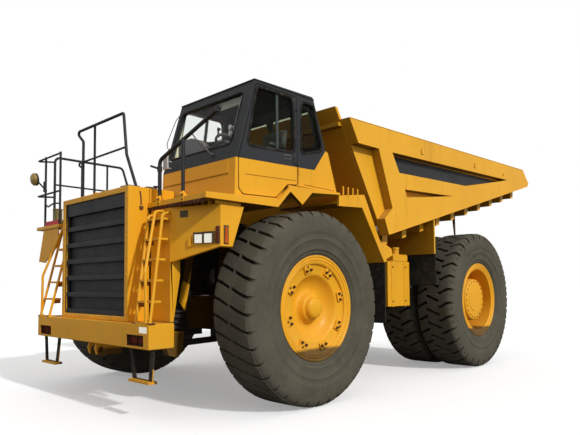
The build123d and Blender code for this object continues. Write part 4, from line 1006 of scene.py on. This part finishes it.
def make_cab_lining():
    """What shows through the glass beside the seat, the sun visor, and the wire and clamps outside."""
    cowl, visor, lining, wire, stay = shapes(5)
    cowl.front_slab(COWL_FRONT, (0.86, 0.985))
    cowl.side_slab(COWL_SIDE, (0.612, 0.72))
    visor.hull_of(*(
        [at(ahead + back, y, z + rise) for back, y, rise in
         ((0, 1.40, 0), (0.013, 1.40, 0.004), (0.013, 1.96, 0.004), (0, 1.96, 0))]
        for ahead, z in ((0.905, 4.060), (0.865, 4.190))
    ))
    for y in (1.45, 1.91):
        visor.rod(at(0.862, y, 4.20), at(0.852, y, 4.330), 0.007, 8)
    lining.side_slab([(0.842, 4.24), (0.895, 4.24), (1.125, 3.48), (1.005, 3.46)], (0.603, 0.612))
    route = [at(0.925, 0.555, 4.20), at(0.935, 0.47, 4.144), at(1.085, 0.45, 3.752), at(1.095, 0.55, 3.600)]
    wire.tube(route, 0.006, 0.05)
    stay.rod(at(1.650, 1.140, 3.20), at(1.760, 1.085, 3.235), 0.014, 10)
    for y, low, high in ((1.140, 3.165, 3.235), (1.140, 2.754, 2.800), (1.665, 2.754, 2.800)):
        stay.post(1.650, y, (low, high), 0.034, 16)
    fixed((cowl, "cab_cowl", "plastic", 0.02), (visor, "sun_visor", "visor", 0.004),
          (lining, "post_lining", "cream", 0.002), (wire, "side_wire", "chassis"),
          (stay, "stay_clamps", "charcoal"))


def make_seat():
    """Seat cushions blown up by cloth under pressure, on a sprung pedestal with two arm rests."""
    cushion, back, piping, stand = shapes(4)
    cushion.side_slab([(-0.06, 3.352), (0.425, 3.352), (0.442, 3.436), (0.00, 3.452)], (1.305, 1.775))
    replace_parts(stuffed(cushion, "seat_cushion"), "cab_seat")
    back.side_slab([(-0.005, 3.49), (-0.080, 3.965), (-0.155, 3.955), (-0.100, 3.475)], (1.305, 1.775))
    stuffed(back, "seat_back")
    edge = [at(a, y, 3.450) for a, y in ((0.437, 1.300), (0.437, 1.780), (-0.03, 1.780), (-0.03, 1.300))]
    piping.loop(edge, (0, 0, 1), 0.010, 0.010, 0.05)
    for y in (1.42, 1.66):
        piping.tube([at(0.43, y, 3.448), at(0.0, y, 3.462)], 0.004, sides=8)
        piping.tube([at(-0.002, y, 3.50), at(-0.076, y, 3.95)], 0.004, sides=8)
    stand.side_slab([(-0.100, 3.337), (0.435, 3.337), (0.435, 3.350), (-0.100, 3.350)], (1.30, 1.78))
    stand.side_slab(SEAT_SHELL, (1.36, 1.72))
    for k in range(5):
        z, fold = 3.095 + k * 0.048, 0.01 * (k % 2)
        stand.box((-0.045 - fold, 0.225 + fold), (1.395, 1.685), (z, z + 0.044))
    for y, inner in ((1.260, 1.340), (1.820, 1.740)):
        stand.box((-0.035, 0.295), (y - 0.028, y + 0.028), (3.642, 3.696))
        stand.rod(at(-0.02, y, 3.66), at(-0.11, inner, 3.60), 0.016, 12)
    fixed((piping, "seat_piping", "gasket"), (stand, "seat_frame", "plastic", 0.006))


def stuffed(shape, name):
    """A pad remeshed and swollen by cloth under pressure; no point moves further than the cap."""
    made = shape.piece(name, "chassis", "fabric")
    remesh = made.modifiers.new("remesh", "REMESH")
    remesh.mode = "VOXEL"
    remesh.voxel_size = 0.014
    take_shape(made)
    rest = [vertex.co.copy() for vertex in made.data.vertices]
    cloth = made.modifiers.new("cloth", "CLOTH")
    cloth.settings.use_pressure = True
    cloth.settings.uniform_pressure_force = 4
    cloth.settings.effector_weights.gravity = 0
    for step in range(1, 21):
        bpy.context.scene.frame_set(step)
    take_shape(made)
    bpy.context.scene.frame_set(1)
    for vertex, start in zip(made.data.vertices, rest):
        move = vertex.co - start
        if move.length > SEAT_CAP:
            vertex.co = start + move * (SEAT_CAP / move.length)
    smooth = made.modifiers.new("smooth", "SUBSURF")
    smooth.levels = smooth.render_levels = 1
    made.data.shade_smooth()
    return made


def take_shape(made):
    """Turns what the modifiers make of a piece into its own mesh."""
    graph = bpy.context.evaluated_depsgraph_get()
    mesh = bpy.data.meshes.new_from_object(made.evaluated_get(graph))
    made.modifiers.clear()
    made.data = mesh
    if not mesh.materials:
        mesh.materials.append(M["fabric"])


# ---------------------------------------------------------------- lamps and grille
HEAD_LAMPS = ((1.818, 1.938, 2.297), (1.952, 2.072, 2.302))  # y from and to, top
HEAD_LAMP_FOOT = 2.175
LAMP_EDGE = 0.009
MARKER_Y = (2.100, 2.140)
MARKER_Z = (2.163, 2.380)
POCKET_Y = (1.109, 1.503)


def fender_slab(shape, side, y, z, near, far):
    """A slab on the slanted fender between two depths ahead of its face."""
    plan = [(y[0], near), (y[1], near), (y[1], far), (y[0], far)]
    low = [at(1.690 - 0.250 * (p - 1.440) / 0.710 + q, side * p, z[0]) for p, q in plan]
    return shape.hull_of(low, [point + Vector((0, 0, z[1] - z[0])) for point in low])


def make_lamps():
    shells, white, red, amber, brown, lips = shapes(6)
    for _, side in SIDES:
        for inner, outer, top in HEAD_LAMPS:
            across, foot = (inner - LAMP_EDGE, outer + LAMP_EDGE), HEAD_LAMP_FOOT - 0.004
            fender_slab(shells, side, across, (foot, top + LAMP_EDGE), 0.0, 0.020)
            fender_slab(shells, side, across, (top, top + 0.012), 0.0, 0.046)
            for y in (inner, outer):
                post = (y - LAMP_EDGE, y + LAMP_EDGE * 0.4)
                fender_slab(shells, side, post, (foot, top + 0.004), 0.0, 0.038)
            lens_y, lens_z = (inner + 0.004, outer - 0.004), (HEAD_LAMP_FOOT, top - 0.012)
            fender_slab(white, side, lens_y, lens_z, 0.016, 0.034)
        fender_slab(shells, side, (MARKER_Y[0] - 0.004, MARKER_Y[1] + 0.004), MARKER_Z, 0.0, 0.010)
        for row in range(3):
            z = MARKER_Z[0] + 0.012 + row * 0.070
            fender_slab(red, side, MARKER_Y, (z, z + 0.056), 0.006, 0.020)
        shell = [(1.312, 2.155), (1.312, 2.392), (1.391, 2.392), (1.391, 2.155)]
        shells.side_slab(shell, (side * 2.1495, side * 2.1535))
        amber.side_slab([(1.322, 2.168), (1.334, 2.372), (1.369, 2.372), (1.381, 2.168)],
                        (side * 2.152, side * 2.160))
        for y in (1.125, 1.320):
            shells.box((2.012, 2.040), (side * y, side * (y + 0.170)), (0.925, 1.030))
            red.box((2.036, 2.060), (side * (y + 0.008), side * (y + 0.162)), (0.933, 1.022))
        # painted shade: dark rust-coloured plates line the head-lamp pockets
        pocket = (side * POCKET_Y[0], side * POCKET_Y[1])
        brown.box((2.0142, 2.018), pocket, (0.909, 1.046))
        for z in (0.9095, 1.0415):
            brown.box((2.016, 2.102), pocket, (z, z + 0.004))
        for y in (POCKET_Y[0], POCKET_Y[1] - 0.004):
            brown.box((2.016, 2.102), (side * y, side * (y + 0.004)), (0.910, 1.045))
        corners = [(1.104, 0.904), (1.508, 0.904), (1.508, 1.051), (1.104, 1.051)]
        lips.loop([at(2.1045, side * y, z) for y, z in corners], (1, 0, 0), 0.009, 0.006, 0.01)
        fender_slab(lips, side, (1.722, 1.757), (2.135, 2.245), 0.0, 0.026)
    white.box((2.1000, 2.1075), (1.402, 1.568), (1.074, 1.148))
    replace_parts(shells.piece("lamp_shells", "chassis", "frame_brown", 0.0015), "lamps")
    fixed((white, "white_lenses", "white_lens", 0.003), (red, "red_lenses", "red_lens", 0.002),
          (amber, "side_markers", "amber_lens", 0.002), (brown, "pocket_linings", "rust"),
          (lips, "pocket_lips", "yellow", 0.001))


def make_grille():
    screen, strips, bolts, strap, caps, seams = shapes(6)
    for k in range(62):
        z = 1.262 + k * 0.0230
        screen.box((1.930, 1.9345), (-0.855, 0.855), (z, z + 0.0075))
    for side in (1, -1):
        strips.box((1.945, 1.975), (side * 0.835, side * 0.871), (1.252, 2.882))
        strips.box((1.990, 2.004), (side * 0.862, side * 0.8715), (1.2515, 2.8825))
    places = [(y, z) for z in (1.30, 1.80, 2.30, 2.82) for y in (-0.93, 0.93)]
    places += [(y, 1.215) for y in (-0.6, 0.0, 0.6)]
    bolts.bolts([at(2.012, y, z) for y, z in places], (1, 0, 0), 0.012)
    strap.tube([at(1.842, 0.967, 2.905), at(1.826, 0.969, 2.82), at(1.822, 0.967, 2.72)], 0.010, 0.06, 8)
    strap.box((1.800, 1.850), (0.965, 0.990), (2.665, 2.705))
    caps.box((1.86, 1.94), (-0.16, -0.08), (2.962, 2.985))
    caps.post(1.90, -0.12, (2.985, 3.010), 0.022, 14)
    dome = [(0.0, 0.0), (0.0, 0.055), (0.030, 0.055), (0.036, 0.048), (0.036, 0.0)]
    caps.lathe(dome, at(1.45, 0.55, 2.962), (0, 0, 1), 24, False)
    for y in (-0.967, 0.967):
        seams.box((1.688, 1.694), (y - 0.0015, y + 0.0015), (2.756, 2.962))
    seams.box((1.688, 1.694), (-0.966, 0.966), (2.9625, 2.9655))
    fixed((screen, "grille_screen", "chassis"), (strips, "grille_strips", "charcoal", 0.003),
          (bolts, "grille_bolts", "yellow"), (strap, "hood_side_strap", "rust"),
          (caps, "hood_caps", "yellow", 0.003), (seams, "hood_seams", "seam"))


# ---------------------------------------------------------------- ladders, decks and rails
STILE_TOP = 2.562
STILE_FOOT = 1.190
STRAP_TOP = 0.876
STRAP_FOOT = 0.490
STRAP_HALF = 0.0395
STRAP_FACE = 2.0065
TREAD_END = ((-0.115, -0.052), (0.014, -0.060), (0.014, 0.012), (-0.115, 0.012))  # ahead and z from the stile
EDGE_STUDS = 31
STAY = ((1.159, 1.716), (1.051, 1.661), (0.980, 2.071), (0.950, 2.698), (1.064, 2.698), (1.112, 2.053))
STAY_END = ((1.223, 1.429), (1.127, 1.299), (1.065, 1.593), (1.051, 1.661), (1.159, 1.716))
STAY_Y = (0.955, 0.985)  # inboard of the 0.999 that the steered tyres reach
GRIP_FIELDS = ((0.60, 0.092, 6, 2.7535), (1.16, 0.092, 6, 2.7535), (-0.74, 0.125, 8, 3.0295))
MIRROR_Y = -2.190


def stile_point(z, stile, side):
    """A point of a ladder's stile at a height, 0 the inner and 1 the outer."""
    share = (z - STILE_FOOT) / (STILE_TOP - STILE_FOOT)
    top, foot = ((1.113, 1.270), (1.440, 1.590))[stile]
    return at(2.070 + (1.800 - 2.070) * share, side * (foot + (top - foot) * share), z)


def make_ladders():
    treads, pads, straps, bolts = shapes(4)
    for _, side in SIDES:
        for rung in range(5):
            z = 1.440 + rung * 0.262
            a, b = stile_point(z, 0, side), stile_point(z, 1, side)
            for step in range(9):
                y = a.y + (b.y - a.y) * (step + 0.5) / 9
                x = a.x + (b.x - a.x) * (step + 0.5) / 9 - 0.055
                treads.rod((x, y, z + 0.012), (x, y, z + 0.019), 0.012, 8)
            treads.hull_of(*([a + Vector((x, side * y, up)) for x, up in TREAD_END] for y in (0.004, 0.020)))
        for stile in (0, 1):
            foot = stile_point(1.192, stile, side)
            ahead = foot.x - AXLE_X
            pads.box((ahead - 0.05, ahead + 0.032), (foot.y - 0.045, foot.y + 0.045), (1.186, 1.200))
            bolts.bolts([foot + Vector((-0.025, y, 0.008)) for y in (0.030, -0.030)], (0, 0, 1), 0.010)
        for top, low in ((1.050, 1.130), (1.540, 1.500)):
            straps.hull_of(*(
                [at(STRAP_FACE + back, side * (y + edge), z) for back, edge in
                 ((-0.019, -STRAP_HALF), (0, -STRAP_HALF), (0, STRAP_HALF), (-0.019, STRAP_HALF))]
                for y, z in ((low, STRAP_FOOT), (top, STRAP_TOP))
            ))
            for share in (0.1, 0.9):
                z = STRAP_FOOT + (STRAP_TOP - STRAP_FOOT) * share
                y = low + (top - low) * share
                bolts.bolts([at(STRAP_FACE, side * (y + off), z) for off in (-0.02, 0.02)], (1, 0, 0), 0.009)
        for k in range(10):
            bolts.post(2.000, side * (1.13 + k * 0.041), (0.484, 0.491), 0.010, 8)
    fixed((treads, "ladder_treads", "dark_yellow", 0.0015), (pads, "ladder_feet", "rust", 0.003),
          (straps, "step_straps", "sheet", 0.002), (bolts, "ladder_bolts", "bolt"))


def make_deck_edges():
    """The decks' lips and the studs below, the rail posts' brackets, the grip of the right decks."""
    lips, studs, brackets, bolts, seams, grip = shapes(6)
    for _, side in SIDES:
        lips.box((1.6895, 1.7235), (side * 0.930, side * 2.1675), (2.690, 2.7545))
        for k in range(EDGE_STUDS):
            y = 0.945 + k * 0.0385
            depth = 0.036 if k % 2 else 0.022
            studs.box((1.692, 1.7215), (side * y, side * (y + 0.022)), (2.6905 - depth, 2.6905))
        # painted shade: a dark rust-coloured strip behind the studs, under the deck's front edge
        studs.box((1.6902, 1.700), (side * 0.932, side * 2.16), (2.650, 2.6905))
        seams.box((1.72, 1.7255), (side * 2.170, side * 2.174), (2.692, 2.760))
    for y in (1.140, 1.665):
        brackets.box((1.723, 1.735), (y - 0.030, y + 0.125), (2.688, 2.798))
        brackets.box((1.600, 1.735), (y - 0.050, y + 0.060), (2.754, 2.766))
        gusset = [(1.600, 2.764), (1.735, 2.764), (1.735, 2.80), (1.665, 2.845)]
        brackets.side_slab(gusset, (y + 0.030, y + 0.042))
        bolts.bolts([at(1.735, y + 0.10, z) for z in (2.715, 2.770)], (1, 0, 0), 0.011)
    for start, pitch, rows, z in GRIP_FIELDS:
        for row in range(rows):
            for col in range(9):
                grip.post(start + row * pitch, -(1.06 + col * 0.125), (z, z + 0.004), 0.014, 6)
    fixed((lips, "deck_lips", "yellow", 0.003), (studs, "deck_edge_studs", "rust"),
          (brackets, "post_brackets", "yellow", 0.003), (bolts, "deck_bolts", "bolt"),
          (seams, "deck_seams", "seam"), (grip, "deck_grip", "yellow"))


def make_tower_backs():
    """What closes the view behind the step towers, in a dark colour that paints their shade, the pegs by the
    guards, and a dark patch.
    """
    screens, stays, ends, pegs, patch = shapes(5)
    for _, side in SIDES:
        # painted shade: a dark rust-coloured sheet behind each step tower
        screens.box((1.540, 1.552), (side * 0.600, side * 1.150), (1.12, 2.698))
        for shape, outline in ((stays, STAY), (ends, STAY_END)):
            shape.side_slab(outline, [side * y for y in STAY_Y])
        for k in range(4):
            pegs.post(-0.93 - k * 0.122, side * 2.195, (3.000, 3.155), 0.014, 10)
    # a dark patch on the fender's top
    fender_slab(patch, 1, (1.585, 1.700), (2.512, 2.600), -0.001, 0.002)
    fixed((screens, "tower_screens", "rust"), (stays, "tower_stays", "yellow", 0.002),
          (ends, "tower_stay_ends", "clean", 0.002), (pegs, "deck_pegs", "yellow"),
          (patch, "fender_patch", "patch", 0.001))


def make_landing_details():
    """Kick plate, board, box and chain of the low landing on the right, and the round mirror above it."""
    kick, board, box, chain, back, glass_disc = shapes(6)
    kick.box((1.876, 1.888), (-1.92, -1.42), (2.6545, 2.728))
    outline = [(-1.99, 2.598), (-2.17, 2.07), (-1.93, 2.045), (-1.46, 2.30), (-1.42, 2.598)]
    board.front_slab(outline, (1.862, 1.880))
    box.box((1.735, 1.835), (-1.75, -1.60), (2.6545, 2.915))
    box.box((1.728, 1.842), (-1.757, -1.593), (2.915, 2.930))
    route = [at(1.870, -1.960, 3.05), at(1.875, -1.86, 2.97), at(1.875, -1.62, 3.02), at(1.870, -1.395, 2.99)]
    chain.tube(route, 0.013, 0.10, 8)
    chain.rod(at(1.872, -1.975, 3.25), at(1.872, -2.00, 3.42), 0.032, 14, 0.022)
    dome = [(0.0, 0.0), (0.0, 0.107), (0.006, 0.109), (0.024, 0.102), (0.044, 0.082), (0.056, 0.050),
            (0.061, 0.0)]
    back.lathe(dome, at(1.963, MIRROR_Y, 3.4775), (1, 0, -0.14), 40, False)
    glass_disc.rod(at(1.9305, MIRROR_Y, 3.482), at(1.9265, MIRROR_Y, 3.4825), 0.094, 40)
    fixed((kick, "landing_kick_plate", "red_plastic", 0.002), (board, "landing_board", "yellow", 0.002),
          (box, "landing_box", "olive", 0.006), (chain, "landing_chain", "charcoal"),
          (back, "round_mirror_back", "brass"), (glass_disc, "round_mirror_glass", "mirror"))


# ---------------------------------------------------------------- dump body
SLOT_BAND = ((-2.045, 3.824), (-2.242, 3.535), (-4.690, 3.617), (-6.55, 3.955))
BED_LUGS = ((-2.945, 3.955, 0.105), (-5.055, 4.027, 0.095), (-6.475, 4.062, 0.055))  # ahead, foot's z, height
BED_FACE = 2.378
EJECTOR_AHEAD = -5.37
EJECTOR_Y = 1.73
EJECTOR_FOOT = 2.668


def bed_under(ahead):
    """Height of the dump body's lower edge, which climbs to the tail."""
    return 2.454 - (ahead + 1.893) * 0.2554


def make_bed_details():
    bands, lugs, welds, ejectors = shapes(4)
    top = bed_under(EJECTOR_AHEAD) - 0.20
    for _, side in SIDES:
        bands.side_slab(SLOT_BAND, (side * 2.2298, side * 2.236))
        for ahead, z, tall in BED_LUGS:
            outline = [(ahead, z), (ahead - 0.07, z), (ahead - 0.07, z + 0.014), (ahead - 0.016, z + 0.016),
                       (ahead - 0.016, z + tall), (ahead, z + tall)]
            lugs.side_slab(outline, (side * 2.376, side * 2.385))
        for start, end in (((-0.90, 4.178), (-7.65, 4.361)), ((-1.90, 2.460), (-7.90, 3.993))):
            welds.rod(*on_side((start, end), side * BED_FACE), 0.006, 8)
        hook = at(EJECTOR_AHEAD, side * EJECTOR_Y, top)
        tip = at(EJECTOR_AHEAD - 0.05, side * EJECTOR_Y, EJECTOR_FOOT)
        half = Vector((0, side * 0.07, 0))
        ejectors.rod(hook, tip, 0.034, 12, 0.016)
        ejectors.rod(hook - half, hook + half, 0.032, 12)
    for shape, name, look in (
        (ejectors, "stone_ejectors", "rust"), (bands, "bed_slot_bands", "charcoal"),
        (lugs, "bed_lug_marks", "seam"), (welds, "bed_welds", "bed"),
    ):
        shape.piece(name, "dump_body", look)


def make_guard_details():
    """Bolts of the front guards; filler caps, straps and side plates of the tanks."""
    bolts, tank = shapes(2)
    cap = [(0.0, 0.0), (0.0, 0.078), (0.035, 0.078), (0.042, 0.070), (0.042, 0.0)]
    for _, side in SIDES:
        for z in (1.98, 1.90):
            bolts.bolts([at(-2.030, side * y, z) for y in (1.15, 1.45, 1.75, 2.05)], (1, 0, 0), 0.014)
        tank.lathe(cap, at(-2.79, side * 1.90, 2.268), (0, 0, 1), 28, False)
        for ahead in (-2.95, -2.55):
            tank.box((ahead - 0.035, ahead + 0.035), (side * 0.995, side * 2.006), (2.046, 2.057))
            tank.box((ahead - 0.035, ahead + 0.035), (side * 1.996, side * 2.008), (1.254, 2.057))
        tank.box((-3.03, -2.56), (side * 2.000, side * 2.010), (2.06, 2.17))
        places = [at(ahead, side * 2.008, z) for ahead in (-2.95, -2.55) for z in (1.35, 1.95)]
        bolts.bolts(places, (0, side, 0), 0.013)
    fixed((bolts, "guard_bolts", "bolt"), (tank, "tank_straps", "yellow", 0.003))


# ---------------------------------------------------------------- floor, sky and light
FLOOR_REACH = 150
FLOOR_GREY = 0.80
FLOOR_BOUNCE = 0.22
FLOOR_GLOW = 0.30
SKY_LIGHT = 0.62
SUN_STRENGTH = 2.2
SUN_TOWARDS = (0.04, 0.83, 0.55)


def seen_directly(tree):
    """1 for rays that show the background: those of the camera, also through glass."""
    path = tree.nodes.new("ShaderNodeLightPath")
    add = tree.nodes.new("ShaderNodeMath")
    add.operation = "ADD"
    add.use_clamp = True
    tree.links.new(path.outputs["Is Camera Ray"], add.inputs[0])
    tree.links.new(path.outputs["Is Transmission Ray"], add.inputs[1])
    return add.outputs[0]


def add_surroundings():
    world = bpy.data.worlds.new("sky")
    bpy.context.scene.world = world
    world.use_nodes = True
    tree = world.node_tree
    sky = tree.nodes["Background"]
    strength = tree.nodes.new("ShaderNodeMapRange")
    strength.inputs["To Min"].default_value = SKY_LIGHT
    strength.inputs["To Max"].default_value = 1.0
    tree.links.new(seen_directly(tree), strength.inputs["Value"])
    tree.links.new(strength.outputs["Result"], sky.inputs["Strength"])
    sky.inputs["Color"].default_value = (1, 1, 1, 1)

    g = Graph("pale_floor")
    direct = seen_directly(g.tree)
    pale = g.mix(g.noise(0.4, 3), (FLOOR_GREY,) * 3, (FLOOR_GREY + 0.02,) * 3)
    g.set(Base_Color=g.mix(direct, (FLOOR_BOUNCE,) * 3, pale), Roughness=0.95, Specular_IOR_Level=0.0)
    g.set(Emission_Color=(1, 1, 1, 1), Emission_Strength=g.times(direct, FLOOR_GLOW))
    mesh = bpy.data.meshes.new("floor")
    corners = [(x * FLOOR_REACH, y * FLOOR_REACH, 0) for x, y in ((-1, -1), (1, -1), (1, 1), (-1, 1))]
    mesh.from_pydata(corners, [], [(0, 1, 2, 3)])
    mesh.materials.append(g.material)
    floor = bpy.data.objects.new("floor", mesh)
    bpy.context.scene.collection.objects.link(floor)

    light = bpy.data.lights.new("sun", "SUN")
    light.energy = SUN_STRENGTH
    light.angle = math.radians(3)
    sun = bpy.data.objects.new("sun", light)
    sun.rotation_euler = Vector(SUN_TOWARDS).to_track_quat("Z", "Y").to_euler()
    bpy.context.scene.collection.objects.link(sun)
    bpy.context.scene.view_settings.view_transform = "Standard"


# ---------------------------------------------------------------- everything together
add_camera()
dress_nodes()
make_tyres()
make_front_rims()
make_rear_rims()
make_window_rubbers()
make_cab_seams()
make_door_fittings()
make_cab_fittings()
make_cab_lining()
make_seat()
make_lamps()
make_grille()
make_ladders()
make_deck_edges()
make_tower_backs()
make_landing_details()
make_bed_details()
make_guard_details()
add_surroundings()
